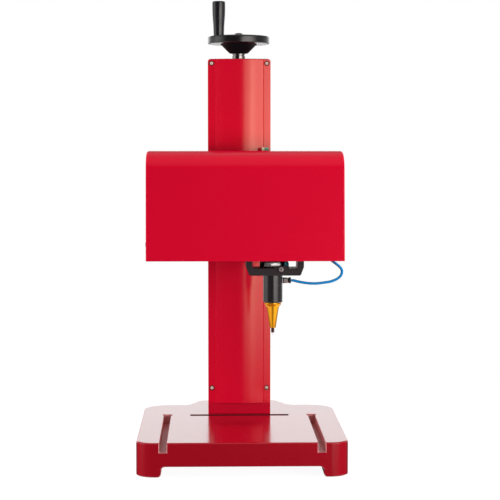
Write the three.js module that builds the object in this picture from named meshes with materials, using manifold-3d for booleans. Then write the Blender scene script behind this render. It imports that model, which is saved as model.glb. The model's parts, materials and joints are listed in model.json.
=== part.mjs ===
// Pneumatic dot-marking machine on a column stand.
// Millimetres. +Z is up, +Y is to the back, +X is to the right of someone who stands in front.
// The origin is the middle of the footprint, on the floor.
import * as THREE from "three";
import { mergeVertices } from "three/addons/utils/BufferGeometryUtils.js";
import Module from "manifold-3d";

const wasm = await Module();
wasm.setup();

// Shared fits and facet counts
const running = 0.3; // gap at moving, turned or curved neighbours
const seat = 0.05; // gap under a flat face that rests on a piece of another group
const overrun = 2; // how far a cut passes the face that it starts from
const wheelSteps = 48;
const roundSteps = 32;
const smallSteps = 20;
const screwSteps = 12;
const cornerSteps = 5;
const arcSteps = 10;

// Driving dimensions
const base = {
  width: 304,
  frontY: -195,
  shoulderY: 147,
  rearY: 195,
  tongueRootWidth: 164,
  tongueWidth: 125,
  height: 49.5,
  footHeight: 15,
  footWidth: 36,
  footDepth: 45,
  frontCornerRadius: 26,
  rearCornerRadius: 40,
  tongueRadius: 14,
  archTopRadius: 6,
  archFootRadius: 5,
  skirt: 14,
  pocketDepth: 14,
  footPad: 22,
};

const groove = {
  centreX: 113,
  width: 11,
  depth: 14.5,
  pocketWidth: 14,
  crossWidth: 13,
  crossLength: 154,
  footGap: 6,
};

const screw = {
  axisY: 105,
  threadRadius: 8,
  shankRadius: 6,
  tailRadius: 5,
  tailLength: 11,
};

const column = {
  width: 98,
  height: 540,
  footExposed: 17.5,
  footLug: 37,
  housingReach: 24,
  housingRear: 57,
  wall: 14,
  backWall: 14,
  capHeight: 14,
  capBoreGap: 0.3,
};

const frontCover = {
  thickness: 2,
  archWidth: 74.5,
  archRise: 5,
  cornerRadius: 3,
  platePassage: 4,
};

const coverScrew = {
  insetX: 6,
  topInset: 7,
  bottomInset: 24,
  headRadius: 4.2,
  headHeight: 2.2,
  domeShare: 0.85,
  shankRadius: 2,
  length: 12,
};

const rail = {
  width: 10,
  height: 7,
};

const bearingBlock = {
  width: 22,
  height: 12,
  lift: 1.5,
};

const lift = {
  plateThickness: 8,
  plateWidth: 144,
  plateHeight: 130,
  plateZ: 13.5,
  blockLength: 80,
  bracketWidth: 20,
  bracketHeight: 110,
  columnGap: 3,
  headGap: 4,
  nutWidth: 44,
  nutHeight: 40,
  nutReach: 20,
  nutRadius: 14,
};

const bottomBearing = {
  radius: 13,
  height: 11.5,
};

const topBearing = {
  radius: 10.4,
  depth: 12,
  height: 11.3,
};

const wheel = {
  radius: 49,
  rimHeight: 12,
  rimWidth: 9,
  edgeRadius: 2.5,
  webThickness: 5,
  coneRadius: 30,
  hubRadius: 16,
  hubDrop: 14.4,
  hubEdge: 3,
  bossRadius: 13,
  handleBossRadius: 10,
};

const wheelNut = {
  flangeRadius: 8,
  flangeHeight: 2.2,
  domeRadius: 5,
  domeHeight: 4.9,
  shankUp: 2,
};

const handle = {
  offsetX: -31.6,
  offsetY: -20,
  length: 53.6,
  topRadius: 10.35,
  neckRadius: 8.7,
  neckHeight: 10.7,
  footRadius: 8,
  edge: 2.5,
  spindleRadius: 4,
  spindleLength: 40,
  collarRadius: 7,
  collarHeight: 2,
};

const head = {
  bottomAboveDeck: 257,
  centreX: 4.5,
  width: 283,
  height: 156.7,
  depth: 226,
  lean: 10,
  roundHeight: 27,
  roundDepth: 36,
  sheet: 1.5,
};

const frame = {
  backThickness: 10,
  sideThickness: 5,
  bottomZ: 5.5,
  sideDrop: 33.2,
  sideFrontInset: 12,
  sideChamferY: 12,
  sideChamferZ: 15.5,
  crossDepth: 38,
  crossThickness: 6,
  crossInset: 20,
};

const headScrew = {
  z: 22,
  frontInset: 40,
  rearInset: 36,
};

const gantry = {
  rearRoom: 82,
  beamDrop: 125.2,
  railRise: 2,
  railFrontInset: 18,
  railRearInset: 6,
  blockLength: 50,
  beamThickness: 12,
  beamHeight: 48,
  crossRailRise: 5,
  crossRailInset: 20,
};

const motor = {
  side: 42,
  length: 34,
  cornerCut: 4,
  shaftRadius: 2.5,
  shaftDepth: 10,
};

const belt = {
  width: 6,
  thickness: 1.5,
  pulleyRadius: 6.4,
  flangeRadius: 8,
  flangeThickness: 1,
};

const crossDrive = {
  endInset: 38.5,
  seatWidth: 24,
  seatWall: 3,
  seatRoof: 5,
};

const sideDrive = {
  motorInset: 37,
  idlerInset: 14,
  rise: 55,
  beltInset: 5.5,
};

const carriage = {
  x: 42.5,
  blockLength: 40,
  plateThickness: 6,
  plateWidth: 60,
  plateDrop: 16,
  flangeThickness: 6,
  lugWidth: 12,
  lugHeight: 7,
};

const holder = {
  depth: 43,
  offsetX: 2.5,
  topWidth: 85,
  bottomWidth: 76,
  height: 41.5,
  slopeHeight: 18.5,
  beamHeight: 10.5,
  armWidth: 9.5,
  spineWidth: 42.5,
  spineThickness: 5.5,
  edgeRadius: 1.5,
  earWidth: 20,
  earDepth: 9,
  earHeight: 4.5,
};

const clampScrew = {
  offsetX: 11.5,
  headRadius: 3.5,
  headLength: 5,
  shankRadius: 2,
  length: 16,
};

const stylus = {
  y: -39,
  radius: 14.6,
  drop: 82.7,
  length: 53.7,
  boreRadius: 11,
  boreDepth: 45,
  edge: 1,
  capRadius: 13.4,
  capHeight: 5.5,
};

const nozzle = {
  flangeRadius: 12.6,
  flangeHeight: 2.4,
  shoulderRadius: 9,
  shoulderDrop: 7.3,
  tipRadius: 4.4,
  length: 37.8,
  spigot: 8,
};

const pin = {
  radius: 2.4,
  reach: 11.2,
  tipLength: 4,
  tipRadius: 1.4,
  pointRadius: 0.3,
  pistonHeight: 8,
  strokeRoom: 11,
};

const spring = {
  innerRadius: 3.2,
  outerRadius: 5,
};

const fitting = {
  rise: 32.7,
  stemRadius: 2.5,
  stemLength: 3.2,
  bodyRadius: 4.5,
  bodyLength: 6,
  waistRadius: 3.6,
  waistLength: 2,
  collarLength: 4,
};

const gantryFitting = {
  sideInset: 21.5,
  bodyRadius: 4.5,
  bodyLength: 12,
  collarRadius: 3.6,
  collarLength: 5.5,
};

const airInlet = {
  x: 41,
  length: 12,
  bodyRadius: 2.8,
  collarRadius: 3.4,
  collarLength: 6,
};

const socket = {
  x: 95,
  drop: 44.7,
  flangeRadius: 11,
  flangeThickness: 3,
  radius: 8,
  length: 12,
  wall: 1.6,
};

const tube = {
  radius: 2,
  sides: 8,
  steps: 36,
};

// The air tube's route, from the fitting on the barrel to the one under the gantry beam
const tubeRoute = [
  [74.3, -85, 272],
  [78.5, -85, 271.8],
  [84.7, -85, 270.6],
  [97.8, -85, 268.6],
  [110.9, -85, 267.7],
  [124.2, -85, 269],
  [133.5, -85, 270.9],
  [142.6, -85, 274.8],
  [148.3, -85, 279.7],
  [150.4, -85, 285.4],
  [149.6, -85, 289.8],
  [146.2, -84.6, 294.2],
  [141.6, -83, 298],
  [134.5, -77, 302.5],
  [127.5, -68, 306.3],
  [121.5, -57, 309],
  [118.7, -49.2, 312.6],
  [118, -46.2, 316.3],
  [118, -46, 320],
];

// Places that follow from the driving dimensions
const deckZ = base.height;
const ledgeZ = deckZ + column.footExposed;
const columnTopZ = ledgeZ + column.height;
const capZ = columnTopZ - column.capHeight;
const halfColumn = column.width / 2;
const housingFrontY = screw.axisY - column.housingReach;
const columnRearY = screw.axisY + column.housingRear;
const wallInnerX = halfColumn - column.wall;
const liftRailX = halfColumn - column.wall / 2;
const liftPlateRearY = housingFrontY - bearingBlock.height;
const liftPlateFrontY = liftPlateRearY - lift.plateThickness;
const coverRearY = liftPlateFrontY - frontCover.platePassage;
const coverFrontY = coverRearY - frontCover.thickness;
const headRearY = coverFrontY - frontCover.archRise - lift.headGap;
const headZ = deckZ + head.bottomAboveDeck;
const headFrontY = headRearY - head.depth;
const frameInnerY = headRearY - frame.backThickness;
const halfHead = head.width / 2;
const halfInside = halfHead - head.sheet;
const sideInnerX = halfInside - frame.sideThickness;
const sideFrontY = headFrontY + frame.sideFrontInset;
const coverScrewX = halfColumn - coverScrew.insetX;
const coverScrewTopZ = columnTopZ - coverScrew.topInset;
const coverScrewBottomZ = ledgeZ + coverScrew.bottomInset;
const lugTopZ = ledgeZ + column.footLug;
const screwThreadZ = lugTopZ + bottomBearing.height + running;
const bearingTopZ = columnTopZ + topBearing.height;
const hubZ = bearingTopZ + running;
const rimZ = hubZ + wheel.hubDrop;
const wheelTopZ = rimZ + wheel.rimHeight;
const leanZ = head.height - head.roundHeight;
const sideTopZ = head.height - frame.sideDrop;
const railGapX = sideInnerX - bearingBlock.height;
const gantryY = frameInnerY - gantry.rearRoom;
const beamFootZ = head.height - gantry.beamDrop;
const beamTopZ = beamFootZ + gantry.beamHeight;
const headRailZ = beamFootZ + gantry.railRise;
const crossRailZ = beamFootZ + gantry.crossRailRise;
const beltZ = beamTopZ + belt.flangeThickness + 2 * running + belt.thickness;
const idlerX = sideInnerX - crossDrive.endInset;
const pulleyX = -idlerX;
const sideBeltX = sideDrive.beltInset - sideInnerX;
const sideDriveZ = beamFootZ + sideDrive.rise;
const sideMotorY = headFrontY + sideDrive.motorInset;
const sideIdlerY = frameInnerY - sideDrive.idlerInset;
const carriagePlateZ = beamFootZ - carriage.plateDrop;
const barrelFootZ = carriagePlateZ - stylus.drop;
const stylusFittingZ = barrelFootZ + fitting.rise;

// Solids and shapes

function solid(shape) {
  if (shape instanceof wasm.Manifold) return shape;
  const bare = shape.clone();
  bare.deleteAttribute("normal");
  bare.deleteAttribute("uv");
  const merged = mergeVertices(bare, 1e-4);
  const corners = merged.index.array;
  const triangles = [];
  for (let i = 0; i < corners.length; i += 3) {
    const [a, b, c] = corners.slice(i, i + 3);
    if (a !== b && b !== c && c !== a) triangles.push(a, b, c);
  }
  return new wasm.Manifold(new wasm.Mesh({
    numProp: 3,
    vertProperties: new Float32Array(merged.attributes.position.array),
    triVerts: new Uint32Array(triangles),
  }));
}

function join(...shapes) {
  return shapes.map(solid).reduce((sum, next) => sum.add(next));
}

function cut(shape, ...tools) {
  return tools.map(solid).reduce((rest, tool) => rest.subtract(tool), solid(shape));
}

function keep(shape, limit) {
  return solid(shape).intersect(solid(limit));
}

function geometryOf(manifold) {
  const mesh = manifold.getMesh();
  const geometry = new THREE.BufferGeometry();
  geometry.setAttribute("position", new THREE.BufferAttribute(new Float32Array(mesh.vertProperties), 3));
  geometry.setIndex(new THREE.BufferAttribute(new Uint32Array(mesh.triVerts), 1));
  geometry.computeVertexNormals();
  return geometry;
}

// A box by its limits along X, Y and Z
function block([x0, x1], [y0, y1], [z0, z1]) {
  const shape = new THREE.BoxGeometry(x1 - x0, y1 - y0, z1 - z0);
  return shape.translate((x0 + x1) / 2, (y0 + y1) / 2, (z0 + z1) / 2);
}

function around(centre, size) {
  return [centre - size / 2, centre + size / 2];
}

// A solid of revolution about Z, from a profile of [radius, z] points that starts at its foot
function turned(profile, steps) {
  const points = profile.map(([r, z]) => new THREE.Vector2(r, z));
  return new THREE.LatheGeometry(points, steps).rotateX(Math.PI / 2);
}

function ring(inner, outer, z0, z1, steps) {
  return turned([[inner, z0], [outer, z0], [outer, z1], [inner, z1], [inner, z0]], steps);
}

function rod(radius, z0, z1, steps) {
  return turned([[0, z0], [radius, z0], [radius, z1], [0, z1]], steps);
}

// Turns a shape made along +Z so that it runs along +X or +Y
function alongX(shape) {
  return solid(shape).rotate(0, 90, 0);
}

function alongY(shape) {
  return solid(shape).rotate(-90, 0, 0);
}

// Points of an outline whose corners [x, y, radius] are rounded by arcs
function rounded(corners, steps = cornerSteps) {
  const points = [];
  corners.forEach(([x, y, radius = 0], i) => {
    const here = new THREE.Vector2(x, y);
    if (radius === 0) {
      points.push(here);
      return;
    }
    const before = corners.at(i - 1);
    const after = corners[(i + 1) % corners.length];
    const toBefore = new THREE.Vector2(before[0], before[1]).sub(here).normalize();
    const toAfter = new THREE.Vector2(after[0], after[1]).sub(here).normalize();
    const half = Math.acos(toBefore.dot(toAfter)) / 2;
    const middle = toBefore.clone().add(toAfter).normalize();
    const centre = here.clone().addScaledVector(middle, radius / Math.sin(half));
    const start = here.clone().addScaledVector(toBefore, radius / Math.tan(half));
    const turn = Math.PI - 2 * half;
    const side = Math.sign(toAfter.cross(toBefore));
    for (let k = 0; k <= steps; k += 1) {
      points.push(start.clone().rotateAround(centre, (side * turn * k) / steps));
    }
  });
  return points;
}

function outline(corners, steps) {
  return new THREE.Shape(rounded(corners, steps));
}

function extruded(shape, length) {
  return new THREE.ExtrudeGeometry(shape, { depth: length, bevelEnabled: false, curveSegments: arcSteps });
}

// Prisms whose outline lies in XY, XZ or YZ, between two places on the third axis
function prismZ(shape, [z0, z1]) {
  return extruded(shape, z1 - z0).translate(0, 0, z0);
}

function prismY(shape, [y0, y1]) {
  return extruded(shape, y1 - y0).rotateX(Math.PI / 2).translate(0, y1, 0);
}

function prismX(shape, [x0, x1]) {
  return extruded(shape, x1 - x0).rotateZ(Math.PI / 2).rotateY(Math.PI / 2).translate(x0, 0, 0);
}

// Finishes

const finishes = {
  redPaint: { color: 0xc8082a, roughness: 0.35, metalness: 0 },
  blackPaint: { color: 0x1b191a, roughness: 0.45, metalness: 0 },
  blackPlastic: { color: 0x161616, roughness: 0.4, metalness: 0 },
  blackAnodised: { color: 0x2a2527, roughness: 0.35, metalness: 0.6 },
  goldAnodised: { color: 0xe0a01c, roughness: 0.28, metalness: 0.9 },
  steel: { color: 0xb9bbbd, roughness: 0.3, metalness: 1 },
  darkSteel: { color: 0x4a4644, roughness: 0.35, metalness: 1 },
  aluminium: { color: 0xc9cacc, roughness: 0.4, metalness: 0.9 },
  brass: { color: 0xc9b06a, roughness: 0.35, metalness: 0.9 },
  greenPlastic: { color: 0x2d8f6c, roughness: 0.4, metalness: 0 },
  beltRubber: { color: 0x202020, roughness: 0.8, metalness: 0 },
  blueTube: { color: 0x237dbe, roughness: 0.3, metalness: 0 },
};

function piece(name, shape, finish) {
  const material = new THREE.MeshStandardMaterial({ ...finishes[finish] });
  const mesh = new THREE.Mesh(geometryOf(solid(shape)), material);
  mesh.name = name;
  return mesh;
}

function assembly(position, ...members) {
  const group = new THREE.Group();
  group.position.set(...position);
  group.add(...members);
  return group;
}

// Base

const crossGrooveRearY = coverRearY - groove.footGap;
const crossGrooveFrontY = crossGrooveRearY - groove.crossWidth;

function baseCasting() {
  const half = base.width / 2;
  const rootHalf = base.tongueRootWidth / 2;
  const tongueHalf = base.tongueWidth / 2;
  const plan = outline([
    [-half, base.frontY, base.frontCornerRadius],
    [half, base.frontY, base.frontCornerRadius],
    [half, base.shoulderY, base.rearCornerRadius],
    [rootHalf, base.shoulderY, base.tongueRadius],
    [tongueHalf, base.rearY, base.tongueRadius],
    [-tongueHalf, base.rearY, base.tongueRadius],
    [-rootHalf, base.shoulderY, base.tongueRadius],
    [-half, base.shoulderY, base.rearCornerRadius],
  ]);
  const lower = -overrun;
  const archHalf = half - base.footWidth;
  const arch = (low, high) => outline([
    [low - base.archFootRadius - overrun, lower],
    [high + base.archFootRadius + overrun, lower],
    [high + base.archFootRadius + overrun, 0],
    [high, 0, base.archFootRadius],
    [high, base.footHeight, base.archTopRadius],
    [low, base.footHeight, base.archTopRadius],
    [low, 0, base.archFootRadius],
    [low - base.archFootRadius - overrun, 0],
  ]);
  const archFrontY = base.frontY + base.footDepth;
  const archRearY = base.shoulderY - base.footDepth;
  const lengthArch = prismY(arch(-archHalf, archHalf), [base.frontY - overrun, base.rearY + overrun]);
  const widthArch = prismX(arch(archFrontY, archRearY), [-half - overrun, half + overrun]);
  const pocketZ = [base.footHeight - overrun, base.footHeight + base.pocketDepth];
  const pocketHalf = archHalf - base.footPad / 2;
  const longPocket = block(
    [-pocketHalf, pocketHalf],
    [base.frontY + base.skirt, base.shoulderY - base.skirt],
    pocketZ,
  );
  const widePocket = block(
    [base.skirt - half, half - base.skirt],
    [archFrontY + base.footPad / 2, archRearY - base.footPad / 2],
    pocketZ,
  );
  const grooveZ = [deckZ - groove.depth, deckZ + overrun];
  const grooves = [-groove.centreX, groove.centreX].flatMap((x) => [
    block(around(x, groove.width), [base.frontY - overrun, crossGrooveRearY], grooveZ),
    block(around(x, groove.pocketWidth), [crossGrooveFrontY, crossGrooveRearY], grooveZ),
  ]);
  const crossGroove = block(around(0, groove.crossLength), [crossGrooveFrontY, crossGrooveRearY], grooveZ);
  return cut(
    prismZ(plan, [0, base.height]),
    lengthArch,
    widthArch,
    longPocket,
    widePocket,
    ...grooves,
    crossGroove,
  );
}

// Column

function screwHole(x, z) {
  const radius = coverScrew.shankRadius + running;
  return alongY(rod(radius, coverFrontY - overrun, coverRearY + coverScrew.length + overrun, screwSteps))
    .translate(x, 0, z);
}

const screwPlaces = [
  [-coverScrewX, coverScrewTopZ],
  [coverScrewX, coverScrewTopZ],
  [-coverScrewX, coverScrewBottomZ],
  [coverScrewX, coverScrewBottomZ],
];

function columnFoot() {
  const lug = block(
    [-halfColumn, halfColumn],
    [coverRearY, housingFrontY - overrun],
    [ledgeZ - overrun, lugTopZ],
  );
  const inner = block(
    [running - wallInnerX, wallInnerX - running],
    [coverRearY, columnRearY - column.backWall - running],
    [ledgeZ - overrun, lugTopZ],
  );
  const foot = block([-halfColumn, halfColumn], [coverRearY, columnRearY], [deckZ, ledgeZ]);
  return cut(join(foot, lug, inner), screwHole(...screwPlaces[2]), screwHole(...screwPlaces[3]));
}

function columnHousing() {
  const plan = outline([
    [-halfColumn, housingFrontY],
    [-wallInnerX, housingFrontY],
    [-wallInnerX, columnRearY - column.backWall],
    [wallInnerX, columnRearY - column.backWall],
    [wallInnerX, housingFrontY],
    [halfColumn, housingFrontY],
    [halfColumn, columnRearY, frontCover.cornerRadius],
    [-halfColumn, columnRearY, frontCover.cornerRadius],
  ]);
  return prismZ(plan, [ledgeZ, capZ]);
}

function archedSheet() {
  const halfArch = frontCover.archWidth / 2;
  const rise = frontCover.archRise;
  const radius = (halfArch * halfArch + rise * rise) / (2 * rise);
  const reach = Math.asin(halfArch / radius);
  const arc = (y, direction) => {
    const points = [];
    for (let k = 0; k <= arcSteps; k += 1) {
      const angle = direction * reach * (2 * (k / arcSteps) - 1);
      const sag = radius * (1 - Math.cos(angle));
      points.push(new THREE.Vector2(radius * Math.sin(angle), y + sag - rise));
    }
    return points;
  };
  const plan = new THREE.Shape([
    new THREE.Vector2(-halfColumn, coverFrontY),
    ...arc(coverFrontY, 1),
    new THREE.Vector2(halfColumn, coverFrontY),
    new THREE.Vector2(halfColumn, coverRearY),
    ...arc(coverRearY, -1),
    new THREE.Vector2(-halfColumn, coverRearY),
  ]);
  return prismZ(plan, [ledgeZ, columnTopZ]);
}

function columnFrontCover() {
  const face = outline([
    [-halfColumn, ledgeZ, frontCover.cornerRadius],
    [halfColumn, ledgeZ, frontCover.cornerRadius],
    [halfColumn, columnTopZ, frontCover.cornerRadius],
    [-halfColumn, columnTopZ, frontCover.cornerRadius],
  ]);
  const limit = prismY(face, [coverFrontY - frontCover.archRise - overrun, coverRearY + overrun]);
  return cut(keep(archedSheet(), limit), ...screwPlaces.map(([x, z]) => screwHole(x, z)));
}

function columnTopCap() {
  const plan = outline([
    [-halfColumn, coverRearY],
    [halfColumn, coverRearY],
    [halfColumn, columnRearY, frontCover.cornerRadius],
    [-halfColumn, columnRearY, frontCover.cornerRadius],
  ]);
  const bore = rod(topBearing.radius + column.capBoreGap, capZ - overrun, columnTopZ + overrun, roundSteps)
    .translate(0, screw.axisY, 0);
  const [leftHole, rightHole] = screwPlaces.slice(0, 2).map((place) => screwHole(...place));
  return cut(prismZ(plan, [capZ, columnTopZ]), bore, leftHole, rightHole);
}

// A button-head screw along +Y, its head's seat at Y zero
function buttonScrew() {
  const { headRadius, headHeight, domeShare, shankRadius, length } = coverScrew;
  return alongY(turned([
    [0, -headHeight],
    [headRadius / 2, -headHeight],
    [headRadius * domeShare, -headHeight / 2],
    [headRadius, 0],
    [shankRadius, 0],
    [shankRadius, length],
    [0, length],
  ], screwSteps));
}

function railAlong(length) {
  return block(around(0, rail.width), [-rail.height, 0], [0, length]);
}

// A bearing block over a rail that runs along Z on a face at Y zero
function blockOnRail(length) {
  const body = block(around(0, bearingBlock.width), [-bearingBlock.height, -bearingBlock.lift], [0, length]);
  const slot = block(
    around(0, rail.width + 2 * running),
    [-rail.height - running, overrun],
    [-overrun, length + overrun],
  );
  return cut(body, slot);
}

function columnPieces() {
  const liftRailLength = capZ - lugTopZ - 2 * seat;
  const screws = screwPlaces.map(([x, z], i) => {
    const mesh = piece(`cover_screw_${i + 1}`, buttonScrew(), "darkSteel");
    mesh.position.set(x, coverFrontY - seat, z);
    return mesh;
  });
  const rails = [-1, 1].map((side) => {
    const mesh = piece(side < 0 ? "lift_rail_left" : "lift_rail_right", railAlong(liftRailLength), "steel");
    mesh.position.set(side * liftRailX, housingFrontY - seat, lugTopZ + seat);
    return mesh;
  });
  const footBearing = piece(
    "bottom_bearing",
    ring(screw.tailRadius + running, bottomBearing.radius, 0, bottomBearing.height, roundSteps),
    "steel",
  );
  footBearing.position.set(0, screw.axisY, lugTopZ + seat);
  const collar = piece(
    "top_bearing",
    ring(screw.shankRadius + running, topBearing.radius, -topBearing.depth, topBearing.height, roundSteps),
    "steel",
  );
  collar.position.set(0, screw.axisY, columnTopZ);
  return [
    piece("column_foot", columnFoot(), "redPaint"),
    piece("column_housing", columnHousing(), "redPaint"),
    piece("column_front_cover", columnFrontCover(), "redPaint"),
    piece("column_top_cap", columnTopCap(), "redPaint"),
    ...screws,
    ...rails,
    footBearing,
    collar,
  ];
}

// Lead screw, handwheel and handle, about the screw's axis

function leadScrew() {
  const threadTopZ = capZ - topBearing.depth;
  const shankTopZ = wheelTopZ + wheelNut.shankUp;
  return turned([
    [0, screwThreadZ - screw.tailLength],
    [screw.tailRadius, screwThreadZ - screw.tailLength],
    [screw.tailRadius, screwThreadZ],
    [screw.threadRadius, screwThreadZ],
    [screw.threadRadius, threadTopZ],
    [screw.shankRadius, threadTopZ],
    [screw.shankRadius, shankTopZ],
    [0, shankTopZ],
  ], roundSteps);
}

function handwheel() {
  const bore = screw.shankRadius + running;
  const innerRim = wheel.radius - wheel.rimWidth;
  const webTopZ = rimZ + wheel.webThickness;
  const profile = [
    [bore, hubZ],
    [wheel.hubRadius - wheel.hubEdge, hubZ],
    [wheel.hubRadius, hubZ + wheel.hubEdge],
    [wheel.coneRadius, rimZ],
    [wheel.radius - wheel.edgeRadius, rimZ],
    [wheel.radius, rimZ + wheel.edgeRadius],
    [wheel.radius, wheelTopZ - wheel.edgeRadius],
    [wheel.radius - wheel.edgeRadius, wheelTopZ],
    [innerRim, wheelTopZ],
    [innerRim - wheel.edgeRadius, webTopZ],
    [wheel.bossRadius + wheel.edgeRadius, webTopZ],
    [wheel.bossRadius, wheelTopZ],
    [bore, wheelTopZ],
    [bore, hubZ],
  ];
  const boss = rod(wheel.handleBossRadius, rimZ + overrun, wheelTopZ, smallSteps)
    .translate(handle.offsetX, handle.offsetY, 0);
  return join(turned(profile, wheelSteps), boss);
}

function handwheelNut() {
  const { flangeRadius, flangeHeight, domeRadius, domeHeight, shankUp } = wheelNut;
  const bore = screw.shankRadius + running;
  const body = turned([
    [0, 0],
    [flangeRadius, 0],
    [flangeRadius, flangeHeight],
    [domeRadius, domeHeight],
    [domeRadius / 2, domeHeight + flangeHeight],
    [0, domeHeight + flangeHeight],
  ], smallSteps);
  return cut(body, rod(bore, -overrun, shankUp + running, smallSteps));
}

function handleSpindle() {
  return turned([
    [0, 0],
    [handle.collarRadius, 0],
    [handle.collarRadius, handle.collarHeight],
    [handle.spindleRadius, handle.collarHeight],
    [handle.spindleRadius, handle.spindleLength],
    [0, handle.spindleLength],
  ], smallSteps);
}

function crankHandle() {
  const bore = handle.spindleRadius + running;
  const foot = handle.collarHeight + running;
  return turned([
    [bore, foot],
    [handle.footRadius, foot],
    [handle.neckRadius, handle.neckHeight],
    [handle.topRadius, handle.length / 2],
    [handle.topRadius, handle.length - handle.edge],
    [handle.topRadius - handle.edge, handle.length],
    [0, handle.length],
    [0, handle.spindleLength + running],
    [bore, handle.spindleLength + running],
    [bore, foot],
  ], smallSteps);
}

function spindleGroup() {
  const nut = piece("handwheel_nut", handwheelNut(), "steel");
  nut.position.set(0, 0, wheelTopZ + seat);
  const crank = assembly(
    [handle.offsetX, handle.offsetY, wheelTopZ + seat],
    piece("handle_spindle", handleSpindle(), "steel"),
    piece("crank_handle", crankHandle(), "blackPlastic"),
  );
  return assembly(
    [0, screw.axisY, 0],
    piece("lead_screw", leadScrew(), "steel"),
    piece("handwheel", handwheel(), "blackPlastic"),
    nut,
    crank,
  );
}

// Lift: what the lead screw carries up and down, in a group at the head's lower edge

function liftPlate() {
  const [plateZ0, plateZ1] = [lift.plateZ, lift.plateZ + lift.plateHeight];
  return block(around(0, lift.plateWidth), [liftPlateFrontY, liftPlateRearY], [plateZ0, plateZ1]);
}

const liftMiddleZ = lift.plateZ + lift.plateHeight / 2;

function nutBracket() {
  const body = block(
    around(0, lift.nutWidth),
    [liftPlateRearY, screw.axisY + lift.nutReach],
    around(liftMiddleZ, lift.nutHeight),
  );
  const bore = rod(lift.nutRadius + running, -lift.plateHeight, 2 * lift.plateHeight, roundSteps)
    .translate(0, screw.axisY, 0);
  return cut(body, bore);
}

function leadNut() {
  const [z0, z1] = around(liftMiddleZ, lift.nutHeight);
  const flange = wheelNut.flangeHeight;
  const rimRadius = lift.nutWidth / 2;
  return turned([
    [screw.threadRadius + running, z0],
    [lift.nutRadius, z0],
    [lift.nutRadius, z1 + seat],
    [rimRadius, z1 + seat],
    [rimRadius, z1 + flange],
    [screw.threadRadius + running, z1 + flange],
    [screw.threadRadius + running, z0],
  ], roundSteps);
}

// Head frame and cover

function headFrame() {
  const back = block(
    [-halfInside, halfInside],
    [frameInnerY, headRearY],
    [frame.bottomZ, head.height - head.sheet],
  );
  const side = outline([
    [sideFrontY, frame.bottomZ],
    [headRearY, frame.bottomZ],
    [headRearY, sideTopZ],
    [sideFrontY + frame.sideChamferY, sideTopZ],
    [sideFrontY, sideTopZ - frame.sideChamferZ],
  ]);
  return cut(
    join(
      back,
      prismX(side, [-halfInside, -sideInnerX]),
      prismX(side, [sideInnerX, halfInside]),
    ),
    ...headScrewPlaces.map(([side2, y, z]) => headScrewHole(side2, y, z)),
  );
}

const headScrewPlaces = [-1, 1].flatMap((side) => [
  [side, headFrontY + headScrew.frontInset, headScrew.z],
  [side, headRearY - headScrew.rearInset, headScrew.z],
]);

function headScrewHole(side, y, z) {
  const reach = head.sheet + frame.sideThickness;
  const hole = alongX(rod(coverScrew.shankRadius + running, -overrun, reach + overrun, screwSteps));
  return hole.translate(side < 0 ? -halfHead : halfHead - reach, y, z);
}

// The section of the head cover in Y and Z: a leaning front, a quarter ellipse and a flat top
function coverSection(inset) {
  const frontFoot = headFrontY + inset;
  const frontTop = headFrontY + head.lean + inset;
  const roundEndY = headFrontY + head.lean + head.roundDepth;
  const topZ = head.height - inset;
  const rise = topZ - leanZ;
  const points = [new THREE.Vector2(frontFoot, inset > 0 ? -overrun : 0)];
  for (let k = 0; k <= arcSteps; k += 1) {
    const angle = (Math.PI / 2) * (k / arcSteps);
    points.push(new THREE.Vector2(
      roundEndY - (roundEndY - frontTop) * Math.cos(angle),
      leanZ + rise * Math.sin(angle),
    ));
  }
  const rear = inset > 0 ? headRearY + overrun : headRearY;
  points.push(new THREE.Vector2(rear, topZ), new THREE.Vector2(rear, points[0].y));
  return new THREE.Shape(points);
}

function headCover() {
  return cut(
    prismX(coverSection(0), [-halfHead, halfHead]),
    prismX(coverSection(head.sheet), [-halfInside, halfInside]),
    ...headScrewPlaces.map(([side, y, z]) => headScrewHole(side, y, z)),
  );
}

function headScrews() {
  return headScrewPlaces.map(([side, y, z], i) => {
    const mesh = piece(`head_cover_screw_${i + 1}`, headScrewShape(), "darkSteel");
    mesh.position.set(side * (halfHead + seat), y, z);
    mesh.rotation.z = side < 0 ? 0 : Math.PI;
    return mesh;
  });
}

// The same button-head screw, shorter, along +X
function headScrewShape() {
  const length = head.sheet + frame.sideThickness;
  const foot = -overrun - coverScrew.headHeight;
  const limit = alongY(rod(coverScrew.headRadius + overrun, foot, length, screwSteps));
  return keep(buttonScrew(), limit).rotate(0, 0, -90);
}

function frontCrossPlate() {
  const y0 = headFrontY + frame.crossInset;
  const z0 = sideDriveZ + motor.side / 2;
  return block([-sideInnerX, sideInnerX], [y0, y0 + frame.crossDepth], [z0, z0 + frame.crossThickness]);
}

// A rail along Y on the inner face of a side plate; side is -1 or 1
function headRail(side) {
  return block(
    side < 0 ? [-sideInnerX, rail.height - sideInnerX] : [sideInnerX - rail.height, sideInnerX],
    [sideFrontY + gantry.railFrontInset, frameInnerY - gantry.railRearInset],
    [headRailZ, headRailZ + rail.width],
  );
}

// Motors, pulleys and belts

// A square motor whose mounting face is at Z zero and whose body hangs below it
function motorBody() {
  const half = motor.side / 2;
  const plan = outline([
    [-half, -half, motor.cornerCut],
    [half, -half, motor.cornerCut],
    [half, half, motor.cornerCut],
    [-half, half, motor.cornerCut],
  ], 1);
  const body = prismZ(plan, [-motor.length, 0]);
  const hole = rod(motor.shaftRadius + running, -motor.shaftDepth - running, overrun, smallSteps);
  return cut(body, hole);
}

const pulleyWidth = belt.width + 2 * (belt.flangeThickness + running);

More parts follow.
